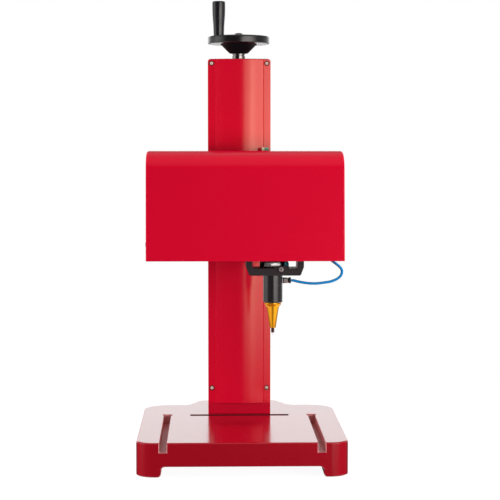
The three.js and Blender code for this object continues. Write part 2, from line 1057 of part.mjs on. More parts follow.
// A flanged pulley about Z that starts at Z zero, with its shaft reaching down by shaftDrop
function pulley(shaftDrop) {
  const { flangeRadius, flangeThickness, pulleyRadius } = belt;
  return turned([
    [0, -shaftDrop],
    [motor.shaftRadius, -shaftDrop],
    [motor.shaftRadius, 0],
    [flangeRadius, 0],
    [flangeRadius, flangeThickness],
    [pulleyRadius, flangeThickness],
    [pulleyRadius, pulleyWidth - flangeThickness],
    [flangeRadius, pulleyWidth - flangeThickness],
    [flangeRadius, pulleyWidth],
    [0, pulleyWidth],
  ], smallSteps);
}

// A belt about two pulleys at X zero and X span, its lower edge at Z zero
function beltLoop(span) {
  const inner = belt.pulleyRadius + running;
  const outer = inner + belt.thickness;
  const loop = (radius) => {
    const shape = new THREE.Shape();
    shape.absarc(0, 0, radius, Math.PI / 2, (3 * Math.PI) / 2);
    shape.absarc(span, 0, radius, -Math.PI / 2, Math.PI / 2);
    shape.closePath();
    return shape;
  };
  return cut(prismZ(loop(outer), [0, belt.width]), prismZ(loop(inner), [-overrun, belt.width + overrun]));
}

// The head's front to back drive, on the left side plate
function sideDrivePieces() {
  const beltLow = sideBeltX - belt.width / 2;
  const pulleyLow = sideBeltX - pulleyWidth / 2;
  const motorFace = sideBeltX + pulleyWidth / 2 + running;
  const motorMesh = piece("y_motor", motorBody(), "blackPaint");
  motorMesh.rotation.y = -Math.PI / 2;
  motorMesh.position.set(motorFace, sideMotorY, sideDriveZ);
  const loop = alongX(beltLoopUpright(sideIdlerY - sideMotorY));
  const beltMesh = piece("y_belt", loop, "beltRubber");
  beltMesh.position.set(beltLow, sideMotorY, sideDriveZ);
  const drive = piece("y_pulley", pulley(motor.shaftDepth), "aluminium");
  drive.rotation.y = -Math.PI / 2;
  drive.position.set(pulleyLow + pulleyWidth, sideMotorY, sideDriveZ);
  const idlerReach = pulleyLow + sideInnerX - running;
  const idler = piece("y_idler", pulley(idlerReach), "aluminium");
  idler.rotation.y = Math.PI / 2;
  idler.position.set(pulleyLow, sideIdlerY, sideDriveZ);
  return { fixed: [motorMesh, beltMesh], turning: [drive, idler] };
}

// The same belt with its span along +Y once it is laid along X
function beltLoopUpright(span) {
  return beltLoop(span).rotate(0, 0, 90);
}

// Gantry: the beam that moves front to back, in a group at its own middle

function gantryBeam() {
  const halfBeam = gantry.beamThickness / 2;
  const beam = block([-railGapX, railGapX], [-halfBeam, halfBeam], [beamFootZ, beamTopZ]);
  const seatTop = beltZ + pulleyWidth + running + crossDrive.seatRoof;
  const seatHalf = belt.flangeRadius + running + crossDrive.seatWall;
  const seatBlock = block(
    around(pulleyX, crossDrive.seatWidth),
    [-seatHalf, seatHalf],
    [beamTopZ - overrun, seatTop],
  );
  const pocketHalf = seatHalf - crossDrive.seatWall;
  const pocket = block(
    [pulleyX - pocketHalf, pulleyX + crossDrive.seatWidth],
    [-pocketHalf, pocketHalf],
    [beamTopZ, seatTop - crossDrive.seatRoof],
  );
  const shaftHole = rod(motor.shaftRadius + 2 * running, beamTopZ, seatTop + overrun, smallSteps)
    .translate(pulleyX, 0, 0);
  const armInner = sideBeltX + belt.width / 2 + running;
  const beltArm = block(
    [armInner, armInner + crossDrive.seatRoof],
    [-halfBeam, halfBeam],
    [beamFootZ + bearingBlock.width + overrun, sideDriveZ + belt.pulleyRadius + belt.width],
  );
  const idlerHoleRadius = motor.shaftRadius + running;
  const idlerHole = rod(idlerHoleRadius, beamTopZ - motor.shaftDepth, beamTopZ + overrun, smallSteps)
    .translate(idlerX, 0, 0);
  return cut(join(beam, cut(seatBlock, pocket, shaftHole), beltArm), idlerHole);
}

function gantryBlock(side) {
  const outer = side * (sideInnerX - bearingBlock.lift);
  const inner = side * railGapX;
  const slotStart = side * (sideInnerX - rail.height - running);
  const slotEnd = side * (sideInnerX + overrun);
  const z0 = headRailZ - (bearingBlock.width - rail.width) / 2;
  const body = block(
    [Math.min(inner, outer), Math.max(inner, outer)],
    around(0, gantry.blockLength),
    [z0, z0 + bearingBlock.width],
  );
  const slot = block(
    [Math.min(slotStart, slotEnd), Math.max(slotStart, slotEnd)],
    around(0, gantry.blockLength + 2 * overrun),
    [headRailZ - running, headRailZ + rail.width + running],
  );
  return cut(body, slot);
}

function crossRail() {
  const faceY = -gantry.beamThickness / 2;
  const endX = sideInnerX - gantry.crossRailInset;
  return block([-endX, endX], [faceY - rail.height, faceY], [crossRailZ, crossRailZ + rail.width]);
}

// A push-in fitting about Z: a body and a release collar, with a short bore for the tube
function gantryFittingShape() {
  const { bodyRadius, bodyLength, collarRadius, collarLength } = gantryFitting;
  const end = bodyLength + collarLength;
  return turned([
    [0, 0],
    [bodyRadius, 0],
    [bodyRadius, bodyLength],
    [collarRadius, bodyLength],
    [collarRadius, end],
    [0, end],
  ], smallSteps);
}

function gantryGroup() {
  const xMotor = piece("x_motor", motorBody(), "blackPaint");
  const seatTop = beltZ + pulleyWidth + running + crossDrive.seatRoof;
  xMotor.rotation.x = Math.PI;
  xMotor.position.set(pulleyX, 0, seatTop + seat);
  const xBelt = piece("x_belt", beltLoop(idlerX - pulleyX), "beltRubber");
  xBelt.position.set(pulleyX, 0, beltZ + belt.flangeThickness + running);
  const shaftUp = seatTop + motor.shaftDepth - beltZ - pulleyWidth;
  const xPulley = piece("x_pulley", pulley(shaftUp), "aluminium");
  xPulley.rotation.x = Math.PI;
  xPulley.position.set(pulleyX, 0, beltZ + pulleyWidth);
  const idlerDrop = beltZ - beamTopZ + motor.shaftDepth - running;
  const xIdler = piece("x_idler", pulley(idlerDrop), "aluminium");
  xIdler.position.set(idlerX, 0, beltZ);
  const port = piece("gantry_fitting", gantryFittingShape(), "blackPlastic");
  port.rotation.x = Math.PI;
  port.position.set(sideInnerX - gantryFitting.sideInset, 0, beamFootZ - seat);
  return assembly(
    [head.centreX, gantryY, headZ],
    piece("gantry_beam", gantryBeam(), "aluminium"),
    piece("y_block_left", gantryBlock(-1), "steel"),
    piece("y_block_right", gantryBlock(1), "steel"),
    piece("x_rail", crossRail(), "steel"),
    xMotor,
    xBelt,
    xPulley,
    xIdler,
    port,
    carriageGroup(),
  );
}

// Carriage: what the cross rail carries left and right, in a group on the stylus axis

const blockRearY = -gantry.beamThickness / 2 - bearingBlock.lift;
const plateRearY = -gantry.beamThickness / 2 - bearingBlock.height;
const plateFrontY = plateRearY - carriage.plateThickness;
const holderFrontY = plateRearY - holder.depth;

function crossBlock() {
  const z0 = crossRailZ - (bearingBlock.width - rail.width) / 2;
  const faceY = -gantry.beamThickness / 2;
  const body = block(
    around(0, carriage.blockLength),
    [plateRearY, blockRearY],
    [z0, z0 + bearingBlock.width],
  );
  const slot = block(
    around(0, carriage.blockLength + 2 * overrun),
    [faceY - rail.height - running, overrun],
    [crossRailZ - running, crossRailZ + rail.width + running],
  );
  return cut(body, slot);
}

function carriagePlate() {
  const beltTop = beltZ + belt.flangeThickness + running + belt.width;
  const plate = block(
    around(0, carriage.plateWidth),
    [plateFrontY, plateRearY],
    [carriagePlateZ, beltTop + overrun],
  );
  const flange = block(
    around(holder.offsetX, holder.topWidth),
    [holderFrontY, plateRearY],
    [carriagePlateZ, carriagePlateZ + carriage.flangeThickness],
  );
  const beltFrontY = -belt.pulleyRadius - running - belt.thickness;
  const lug = block(
    around(0, carriage.lugWidth),
    [plateFrontY, beltFrontY - running],
    [beltTop - carriage.lugHeight, beltTop + overrun],
  );
  return join(plate, flange, lug);
}

// The U-shaped holder: two arms, a clamp beam and a spine behind the barrel
function stylusHolder() {
  const topZ = carriagePlateZ;
  const bottomZ = topZ - holder.height;
  const beamTop = bottomZ + holder.beamHeight;
  const topHalf = holder.topWidth / 2;
  const bottomHalf = holder.bottomWidth / 2;
  const middle = holder.offsetX;
  const slopeTop = bottomZ + holder.slopeHeight;
  const face = outline([
    [middle - bottomHalf, bottomZ, holder.edgeRadius],
    [middle + bottomHalf, bottomZ, holder.edgeRadius],
    [middle + topHalf, slopeTop, holder.edgeRadius],
    [middle + topHalf, topZ],
    [middle - topHalf, topZ],
    [middle - topHalf, slopeTop, holder.edgeRadius],
  ]);
  const windows = [-1, 1].map((side) => {
    const outer = middle + side * (topHalf - holder.armWidth);
    const outerFoot = middle + side * (bottomHalf - holder.armWidth);
    const inner = middle + (side * holder.spineWidth) / 2;
    return outline([
      [inner, beamTop, holder.edgeRadius],
      [inner, topZ + overrun],
      [outer, topZ + overrun],
      [outer, slopeTop, holder.edgeRadius],
      [outerFoot, beamTop, holder.edgeRadius],
    ]);
  });
  const depth = [holderFrontY, plateRearY];
  const through = [holderFrontY - overrun, plateRearY + overrun];
  const spineFrontY = plateRearY - holder.spineThickness;
  const frontRoom = block(
    around(middle, holder.spineWidth + overrun),
    [holderFrontY - overrun, spineFrontY],
    [beamTop, topZ + overrun],
  );
  const boreTop = beamTop + overrun + holder.earHeight;
  const bore = rod(stylus.radius + running, bottomZ - overrun, boreTop, roundSteps)
    .translate(0, stylus.y, 0);
  const ear = block(
    around(clampScrew.offsetX, holder.earWidth),
    [holderFrontY, holderFrontY + holder.earDepth],
    [beamTop - overrun, beamTop + holder.earHeight],
  );
  const screwZ = beamTop - holder.earHeight + clampScrew.headRadius;
  const screwBore = alongY(rod(clampScrew.shankRadius + running, 0, clampScrew.length + overrun, screwSteps))
    .translate(clampScrew.offsetX, holderFrontY - overrun, screwZ);
  const body = cut(prismY(face, depth), frontRoom, ...windows.map((shape) => prismY(shape, through)));
  return cut(join(body, ear), bore, screwBore);
}

function clampScrewShape() {
  const { headRadius, headLength, shankRadius, length } = clampScrew;
  return alongY(turned([
    [0, -headLength],
    [headRadius, -headLength],
    [headRadius, 0],
    [shankRadius, 0],
    [shankRadius, length - headLength],
    [0, length - headLength],
  ], smallSteps));
}

function stylusBarrel() {
  const { radius, length, boreRadius, boreDepth, edge } = stylus;
  const topZ = barrelFootZ + length;
  const body = turned([
    [boreRadius, barrelFootZ],
    [radius - edge, barrelFootZ],
    [radius, barrelFootZ + edge],
    [radius, topZ],
    [0, topZ],
    [0, barrelFootZ + boreDepth],
    [boreRadius, barrelFootZ + boreDepth],
    [boreRadius, barrelFootZ],
  ], roundSteps);
  const port = alongX(rod(fitting.stemRadius + running, 0, radius + overrun, screwSteps));
  return cut(body, port.translate(0, 0, stylusFittingZ));
}

function stylusCap() {
  const { capRadius, capHeight, edge } = stylus;
  return turned([
    [0, 0],
    [capRadius, 0],
    [capRadius, capHeight - edge],
    [capRadius - edge, capHeight],
    [0, capHeight],
  ], roundSteps);
}

function stylusNozzle() {
  const bore = pin.radius + running;
  const top = barrelFootZ;
  const shoulderZ = top - nozzle.shoulderDrop;
  const spigotRadius = stylus.boreRadius - running;
  return turned([
    [bore, top - nozzle.length],
    [nozzle.tipRadius, top - nozzle.length],
    [nozzle.shoulderRadius, shoulderZ],
    [nozzle.flangeRadius, top - nozzle.flangeHeight],
    [nozzle.flangeRadius, top],
    [spigotRadius, top],
    [spigotRadius, top + nozzle.spigot],
    [bore, top + nozzle.spigot],
    [bore, top - nozzle.length],
  ], roundSteps);
}

const pistonZ = barrelFootZ + nozzle.spigot + pin.strokeRoom;

function markingPin() {
  const nozzleEnd = barrelFootZ - nozzle.length;
  const shoulder = nozzleEnd - pin.reach + pin.tipLength;
  return turned([
    [0, nozzleEnd - pin.reach],
    [pin.pointRadius, nozzleEnd - pin.reach],
    [pin.tipRadius, shoulder],
    [pin.radius, shoulder],
    [pin.radius, pistonZ],
    [stylus.boreRadius - running, pistonZ],
    [stylus.boreRadius - running, pistonZ + pin.pistonHeight],
    [0, pistonZ + pin.pistonHeight],
  ], smallSteps);
}

function returnSpring() {
  const low = barrelFootZ + nozzle.spigot + running;
  return ring(spring.innerRadius, spring.outerRadius, low, pistonZ - running, smallSteps);
}

function stylusFitting() {
  const start = stylus.radius + running;
  const bodyEnd = start + fitting.bodyLength;
  const waistEnd = bodyEnd + fitting.waistLength;
  const end = waistEnd + fitting.collarLength;
  return alongX(turned([
    [0, start - fitting.stemLength],
    [fitting.stemRadius, start - fitting.stemLength],
    [fitting.stemRadius, start],
    [fitting.bodyRadius, start],
    [fitting.bodyRadius, bodyEnd],
    [fitting.waistRadius, bodyEnd],
    [fitting.waistRadius, waistEnd],
    [fitting.bodyRadius, waistEnd],
    [fitting.bodyRadius, end],
    [0, end],
  ], smallSteps)).translate(0, 0, stylusFittingZ);
}

function carriageGroup() {
  const beamTop = carriagePlateZ - holder.height + holder.beamHeight;
  const screwZ = beamTop - holder.earHeight + clampScrew.headRadius;
  const clamp = piece("clamp_screw", clampScrewShape(), "steel");
  clamp.position.set(clampScrew.offsetX, holderFrontY - seat, screwZ);
  const stylusMembers = assembly(
    [0, stylus.y, 0],
    piece("stylus_barrel", stylusBarrel(), "blackAnodised"),
    piece("stylus_nozzle", stylusNozzle(), "goldAnodised"),
    piece("marking_pin", markingPin(), "steel"),
    piece("return_spring", returnSpring(), "steel"),
    piece("stylus_fitting", stylusFitting(), "blackPlastic"),
  );
  const cap = piece("stylus_cap", stylusCap(), "aluminium");
  cap.position.set(0, 0, barrelFootZ + stylus.length + seat);
  stylusMembers.add(cap);
  return assembly(
    [carriage.x, 0, 0],
    piece("x_block", crossBlock(), "steel"),
    piece("carriage_plate", carriagePlate(), "aluminium"),
    piece("stylus_holder", stylusHolder(), "blackPaint"),
    clamp,
    stylusMembers,
  );
}

// Fittings on the back of the head

function airInletShape() {
  const { length, bodyRadius, collarRadius, collarLength } = airInlet;
  return alongX(turned([
    [0, 0],
    [bodyRadius, 0],
    [bodyRadius, length - collarLength],
    [collarRadius, length - collarLength],
    [collarRadius, length],
    [0, length],
  ], smallSteps));
}

function signalSocket() {
  const { flangeRadius, flangeThickness, radius, length, wall } = socket;
  return alongY(turned([
    [0, 0],
    [flangeRadius, 0],
    [flangeRadius, flangeThickness],
    [radius, flangeThickness],
    [radius, length],
    [radius - wall, length],
    [radius - wall, flangeThickness],
    [0, flangeThickness],
  ], roundSteps));
}

function headGroup() {
  const plug = piece("signal_socket", signalSocket(), "darkSteel");
  plug.position.set(socket.x, headRearY + seat, head.height - socket.drop);
  const inlet = piece("air_inlet_fitting", airInletShape(), "greenPlastic");
  inlet.position.set(
    airInlet.x - head.centreX - airInlet.length / 2,
    headRearY - airInlet.collarRadius,
    head.height + airInlet.collarRadius + seat,
  );
  const drive = sideDrivePieces();
  return assembly(
    [head.centreX, 0, 0],
    piece("head_frame", headFrame(), "aluminium"),
    piece("front_cross_plate", frontCrossPlate(), "aluminium"),
    piece("head_cover", headCover(), "redPaint"),
    ...headScrews(),
    piece("y_rail_left", headRail(-1), "steel"),
    piece("y_rail_right", headRail(1), "steel"),
    ...drive.fixed,
    ...drive.turning,
    plug,
    inlet,
  );
}

function liftGroup() {
  const armHalf = halfColumn + lift.columnGap;
  const blocks = [-1, 1].map((side) => {
    const name = side < 0 ? "lift_block_left" : "lift_block_right";
    const mesh = piece(name, blockOnRail(lift.blockLength), "steel");
    mesh.position.set(side * liftRailX, housingFrontY, liftMiddleZ - lift.blockLength / 2);
    return mesh;
  });
  const brackets = [-1, 1].map((side) => {
    const [near, far] = [side * armHalf, side * (armHalf + lift.bracketWidth)];
    const shape = block(
      [Math.min(near, far), Math.max(near, far)],
      [headRearY, liftPlateFrontY],
      around(liftMiddleZ, lift.bracketHeight),
    );
    return piece(side < 0 ? "head_bracket_left" : "head_bracket_right", shape, "blackPaint");
  });
  const nut = piece("lead_nut", leadNut(), "brass");
  nut.position.set(0, screw.axisY, 0);
  return assembly(
    [0, 0, headZ],
    piece("lift_plate", liftPlate(), "blackPaint"),
    piece("nut_bracket", nutBracket(), "aluminium"),
    nut,
    ...blocks,
    ...brackets,
    headGroup(),
  );
}

// Air tube

function airTube() {
  const points = tubeRoute.map((point) => new THREE.Vector3(...point));
  const route = new THREE.CatmullRomCurve3(points, false, "centripetal");
  const section = new THREE.Shape();
  for (let k = 0; k < tube.sides; k += 1) {
    const angle = (2 * Math.PI * k) / tube.sides;
    const [x, y] = [tube.radius * Math.cos(angle), tube.radius * Math.sin(angle)];
    if (k === 0) section.moveTo(x, y);
    else section.lineTo(x, y);
  }
  section.closePath();
  return new THREE.ExtrudeGeometry(section, { steps: tube.steps, extrudePath: route });
}

const machine = new THREE.Group();
machine.name = "marking_machine";
machine.add(
  piece("base_casting", baseCasting(), "redPaint"),
  ...columnPieces(),
  spindleGroup(),
  liftGroup(),
  gantryGroup(),
  piece("air_tube", airTube(), "blueTube"),
);

export default machine;
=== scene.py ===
import json
import math

import bmesh
import bpy
from mathutils import Matrix, Vector

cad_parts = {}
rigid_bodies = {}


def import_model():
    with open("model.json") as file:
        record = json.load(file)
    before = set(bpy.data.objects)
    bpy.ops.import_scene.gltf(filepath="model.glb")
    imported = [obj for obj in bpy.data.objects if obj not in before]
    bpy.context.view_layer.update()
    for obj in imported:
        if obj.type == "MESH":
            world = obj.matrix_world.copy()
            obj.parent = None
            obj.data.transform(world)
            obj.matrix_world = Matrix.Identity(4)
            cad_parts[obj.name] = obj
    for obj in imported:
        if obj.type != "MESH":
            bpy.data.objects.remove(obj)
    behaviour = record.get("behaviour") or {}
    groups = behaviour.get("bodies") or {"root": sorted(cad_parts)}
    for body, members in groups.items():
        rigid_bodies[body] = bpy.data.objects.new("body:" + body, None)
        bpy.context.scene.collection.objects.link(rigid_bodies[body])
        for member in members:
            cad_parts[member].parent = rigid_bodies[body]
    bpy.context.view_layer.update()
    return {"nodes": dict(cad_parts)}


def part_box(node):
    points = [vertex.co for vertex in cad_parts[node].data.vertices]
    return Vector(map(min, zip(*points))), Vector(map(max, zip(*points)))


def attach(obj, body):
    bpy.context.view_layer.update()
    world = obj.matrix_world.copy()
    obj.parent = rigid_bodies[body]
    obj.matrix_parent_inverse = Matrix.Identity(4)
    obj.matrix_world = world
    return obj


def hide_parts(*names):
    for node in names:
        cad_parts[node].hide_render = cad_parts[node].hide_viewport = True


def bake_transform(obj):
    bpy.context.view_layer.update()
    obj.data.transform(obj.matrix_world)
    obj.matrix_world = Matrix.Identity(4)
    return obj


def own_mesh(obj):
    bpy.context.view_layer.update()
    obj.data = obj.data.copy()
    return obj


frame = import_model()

mm = 0.001  # every size below is in millimetres, meshes are in metres
weld = 2e-6  # metres within which points become one
print("frame loaded,", len(frame["nodes"]), "solids")


def linked(name, data):
    made = bpy.data.objects.new(name, data)
    bpy.context.scene.collection.objects.link(made)
    return made


# Camera, as the photograph was taken

camera = {"lens": 112.0, "place": (-0.044, -2.381, 0.4542), "tilt": -0.05967, "pan": -0.02495}

cameraData = bpy.data.cameras.new("camera")
cameraData.lens = camera["lens"]
cameraData.sensor_width = 36
cameraData.clip_start = 0.05
cameraObject = linked("camera", cameraData)
cameraObject.location = camera["place"]
cameraObject.rotation_euler = (math.pi / 2 + camera["tilt"], 0, camera["pan"])
bpy.context.scene.camera = cameraObject
print("camera placed")


# Places read from the frame, in millimetres

def nodeBox(node):
    # a solid's low and high corners and its middle
    low, high = [Vector(corner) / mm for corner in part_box(node)]
    return low, high, (low + high) / 2


def bodyOfNode(node):
    return frame["nodes"][node].parent.name.split(":")[1]


# Mesh helpers: outlines, prisms, turned parts, cuts and rounded edges

def newPiece(name):
    return linked(name, bpy.data.meshes.new(name))


def meshOf(target):
    bm = bmesh.new()
    bm.from_mesh(target.data)
    return bm


def putBack(bm, target):
    bm.to_mesh(target.data)
    bm.free()
    return target


def finished(name, bm, faceOut=True):
    if faceOut:
        bmesh.ops.recalc_face_normals(bm, faces=bm.faces)
    bmesh.ops.scale(bm, vec=(mm, mm, mm), verts=bm.verts)
    return putBack(bm, newPiece(name))


def filleted(corners, closed=True, steps=6):
    # corners are (x, y) or (x, y, radius); a radius turns the corner into an arc
    points = []
    for i, corner in enumerate(corners):
        here = Vector(corner[:2])
        radius = corner[2] if len(corner) > 2 else 0
        atEnd = not closed and i in (0, len(corners) - 1)
        if radius == 0 or atEnd:
            points.append(here)
            continue
        toBefore = (Vector(corners[i - 1][:2]) - here).normalized()
        toAfter = (Vector(corners[(i + 1) % len(corners)][:2]) - here).normalized()
        half = toBefore.angle(toAfter) / 2
        centre = here + (toBefore + toAfter).normalized() * (radius / math.sin(half))
        arm = here + toBefore * (radius / math.tan(half)) - centre
        turn = math.copysign(math.pi - 2 * half, toAfter.cross(toBefore))
        points += [centre + Matrix.Rotation(turn * k / steps, 2) @ arm for k in range(steps + 1)]
    return points


def mirrored(corners, middle=0):
    return [(2 * middle - x, *rest) for x, *rest in reversed(corners)]


def bothHalves(right, middle=0):
    # an outline from its right half, which runs from the foot up; it starts at the left foot
    left = mirrored(right, middle)
    return [left[-1], *right, *left[:-1]]


def onPlane(point, depth, axis):
    # a point of an outline in YZ, XZ or XY, at a place on the third axis
    across, up = point
    return {"X": (depth, across, up), "Y": (across, depth, up), "Z": (across, up, depth)}[axis]


def prism(name, points, span, axis="Z", topRound=0):
    bm = bmesh.new()
    low, high = [[bm.verts.new(onPlane(p, depth, axis)) for p in points] for depth in span]
    bm.faces.new(low)
    top = bm.faces.new(high)
    joinRings(bm, low, high, len(points))
    if topRound > 0:
        bmesh.ops.recalc_face_normals(bm, faces=bm.faces)
        bevelled(bm, top.edges, topRound, 5)
    return finished(name, bm)


def joinRings(bm, first, second, steps):
    for k in range(steps):
        n = (k + 1) % steps
        if len(first) == 1 and len(second) == 1:
            return
        if len(first) == 1:
            bm.faces.new((first[0], second[k], second[n]))
        elif len(second) == 1:
            bm.faces.new((first[k], second[0], first[n]))
        else:
            bm.faces.new((first[k], second[k], second[n], first[n]))


def bevelled(bm, edges, width, steps, clamp=False):
    shape = {"offset_type": "OFFSET", "profile": 0.5, "affect": "EDGES", "clamp_overlap": clamp}
    bmesh.ops.bevel(bm, geom=list(edges), offset=width, segments=steps, **shape)


def block(name, x, y, z):
    return prism(name, [(x[0], y[0]), (x[1], y[0]), (x[1], y[1]), (x[0], y[1])], z)


def turned(name, profile, centre=(0, 0, 0), direction=(0, 0, 1), steps=96, closed=False):
    # profile points are (radius, along), turned about the direction through the centre
    turn = Vector((0, 0, 1)).rotation_difference(Vector(direction)).to_matrix()
    bm = bmesh.new()
    rings = []
    for radius, along in profile:
        ring = []
        for k in range(1 if radius < 1e-6 else steps):
            angle = 2 * math.pi * k / steps
            spot = turn @ Vector((radius * math.cos(angle), radius * math.sin(angle), along))
            ring.append(bm.verts.new(Vector(centre) + spot))
        rings.append(ring)
    for first, second in zip(rings, rings[1:] + rings[:closed]):
        joinRings(bm, first, second, steps)
    return finished(name, bm)


def lathed(name, corners, centre=(0, 0, 0), direction=(0, 0, 1), steps=64, fine=6, closed=False):
    # a turned part whose profile has round corners, each in a few fine steps
    return turned(name, filleted(corners, False, fine), centre, direction, steps, closed)


def rod(name, radius, span, centre=(0, 0, 0), direction=(0, 0, 1), steps=96):
    profile = [(0, span[0]), (radius, span[0]), (radius, span[1]), (0, span[1])]
    return turned(name, profile, centre, direction, steps)


def applied(target):
    # bakes the modifiers into the object's own mesh
    graph = bpy.context.evaluated_depsgraph_get()
    mesh = bpy.data.meshes.new_from_object(target.evaluated_get(graph))
    target.modifiers.clear()
    target.data = mesh
    return target


def combined(target, operation, *tools):
    for tool in tools:
        modifier = target.modifiers.new("combine", "BOOLEAN")
        modifier.operation = operation
        modifier.solver = "EXACT"
        modifier.object = tool
        applied(target)
        bpy.data.objects.remove(tool)
    return target


def cut(target, *tools):
    return combined(target, "DIFFERENCE", *tools)


def joined(target, *others):
    return combined(target, "UNION", *others)


def merged(target, other):
    # two loose parts of one piece, put into one mesh
    bm = meshOf(target)
    bm.from_mesh(other.data)
    bpy.data.objects.remove(other)
    return putBack(bm, target)


def cleaned(bm, angle):
    bmesh.ops.remove_doubles(bm, verts=bm.verts, dist=weld)
    bmesh.ops.dissolve_limit(bm, angle_limit=math.radians(angle), verts=bm.verts, edges=bm.edges)


def softEdges(target, width, steps=2, angle=35, pick=None, clamp=False):
    # rounds the edges that turn by more than the angle; pick is told an edge's middle in millimetres
    bm = meshOf(target)
    cleaned(bm, 0.5)
    limit = math.radians(angle)
    edges = [
        e for e in bm.edges
        if len(e.link_faces) == 2
        and e.calc_face_angle(0) > limit
        and (pick is None or pick((e.verts[0].co + e.verts[1].co) / 2 / mm))
    ]
    bevelled(bm, edges, width * mm, steps, clamp)
    return putBack(bm, target)


def smooth(target, angle=35):
    mesh = target.data
    mesh.shade_smooth()
    mesh.set_sharp_from_angle(angle=math.radians(angle))
    modifier = target.modifiers.new("even normals", "WEIGHTED_NORMAL")
    modifier.keep_sharp = True
    modifier.weight = 60
    return applied(target)


def copyOf(node):
    # a merged copy of a CAD solid, whose own mesh is loose triangles
    bm = meshOf(frame["nodes"][node])
    cleaned(bm, 1)
    return putBack(bm, newPiece("fine_" + node))


# Node helpers, and the surface effects that several finishes share

def addNode(tree, kind, inputs=None, **settings):
    # a node with its settings; each input takes a value, or a socket to link
    node = tree.nodes.new(kind)
    for name, value in settings.items():
        setattr(node, name, value)
    for label, value in (inputs or {}).items():
        if isinstance(value, bpy.types.NodeSocket):
            tree.links.new(value, node.inputs[label])
        else:
            node.inputs[label].default_value = value
    return node


def mathNode(tree, operation, first, *others, clamp=False):
    # a third value and any further one are taken in one after another
    for inputs in [{1: other} for other in others] or [{}]:
        node = addNode(tree, "ShaderNodeMath", {0: first, **inputs}, operation=operation, use_clamp=clamp)
        first = node.outputs[0]
    return first


def noiseNode(tree, vector, scale, detail=2.0, roughness=0.5):
    inputs = {"Vector": vector, "Scale": scale, "Detail": detail, "Roughness": roughness}
    return addNode(tree, "ShaderNodeTexNoise", inputs).outputs["Fac"]


def newGroup(name, inputs, outputs, kind="ShaderNodeTree"):
    # a group with its named sockets, and what its input node gives
    group = bpy.data.node_groups.new(name, kind)
    for label, socketKind, *value in inputs:
        socket = group.interface.new_socket(label, in_out="INPUT", socket_type="NodeSocket" + socketKind)
        if value:
            socket.default_value = value[0]
    for label, socketKind in outputs:
        group.interface.new_socket(label, in_out="OUTPUT", socket_type="NodeSocket" + socketKind)
    return group, group.nodes.new("NodeGroupInput").outputs


def orangePeelGroup():
    # soft waves of a sprayed coat, with a finer dust on them
    inputs = [("Vector", "Vector"), ("Waves", "Float", 380.0), ("Dust", "Float", 0.25)]
    group, given = newGroup("orangePeel", inputs, [("Height", "Float")])
    waves = noiseNode(group, given["Vector"], given["Waves"], 1.0, 0.4)
    fine = noiseNode(group, given["Vector"], mathNode(group, "MULTIPLY", given["Waves"], 6.0), 2.0, 0.6)
    dust = mathNode(group, "MULTIPLY", fine, given["Dust"])
    addNode(group, "NodeGroupOutput", {"Height": mathNode(group, "ADD", waves, dust)})
    return group


def toneDriftGroup():
    # the slow change of a colour over a surface, and the roughness that goes with it
    group, given = newGroup("toneDrift", [
        ("Vector", "Vector"),
        ("Colour", "Color", (0.5, 0.5, 0.5, 1)),
        ("Scale", "Float", 12.0),
        ("Amount", "Float", 0.06),
        ("Roughness", "Float", 0.3),
        ("Spread", "Float", 0.06),
    ], [("Colour", "Color"), ("Roughness", "Float")])
    cloud = noiseNode(group, given["Vector"], given["Scale"], 4.0, 0.55)
    change = mathNode(group, "MULTIPLY", mathNode(group, "SUBTRACT", cloud, 0.5), given["Amount"])
    value = mathNode(group, "ADD", change, 1.0)
    shade = addNode(group, "ShaderNodeHueSaturation", {"Color": given["Colour"], "Value": value})
    smudge = noiseNode(group, given["Vector"], mathNode(group, "MULTIPLY", given["Scale"], 9.0), 5.0, 0.6)
    offset = mathNode(group, "MULTIPLY", mathNode(group, "SUBTRACT", smudge, 0.5), given["Spread"])
    rough = mathNode(group, "ADD", given["Roughness"], offset, clamp=True)
    addNode(group, "NodeGroupOutput", {"Colour": shade.outputs["Color"], "Roughness": rough})
    return group


def turningMarksGroup():
    # rings left by a lathe about the Z axis of the vector, on round walls and on end faces alike
    inputs = [("Vector", "Vector"), ("Rings", "Float", 2200.0)]
    group, given = newGroup("turningMarks", inputs, [("Height", "Float")])
    split = addNode(group, "ShaderNodeSeparateXYZ", {0: given["Vector"]}).outputs
    squares = [mathNode(group, "MULTIPLY", split[axis], split[axis]) for axis in "XY"]
    radius = mathNode(group, "SQRT", mathNode(group, "ADD", *squares))
    place = addNode(group, "ShaderNodeCombineXYZ", {"X": radius, "Y": split["Z"]})
    rings = noiseNode(group, place.outputs[0], given["Rings"], 2.0, 0.6)
    addNode(group, "NodeGroupOutput", {"Height": rings})
    return group


def brushedGroup():
    # fine lines along Z: the vector is squeezed along it
    inputs = [("Vector", "Vector"), ("Lines", "Float", 900.0)]
    group, given = newGroup("brushed", inputs, [("Height", "Float")])
    squeeze = addNode(group, "ShaderNodeMapping", {"Vector": given["Vector"], "Scale": (1, 1, 0.03)})
    lines = noiseNode(group, squeeze.outputs[0], given["Lines"], 3.0, 0.6)
    addNode(group, "NodeGroupOutput", {"Height": lines})
    return group


# each effect with the input that takes its scale
effects = {
    "orangePeel": (orangePeelGroup(), "Waves"),
    "turningMarks": (turningMarksGroup(), "Rings"),
    "brushed": (brushedGroup(), "Lines"),
}
toneDrift = toneDriftGroup()


# Finishes, in groups by the material slot that they go to

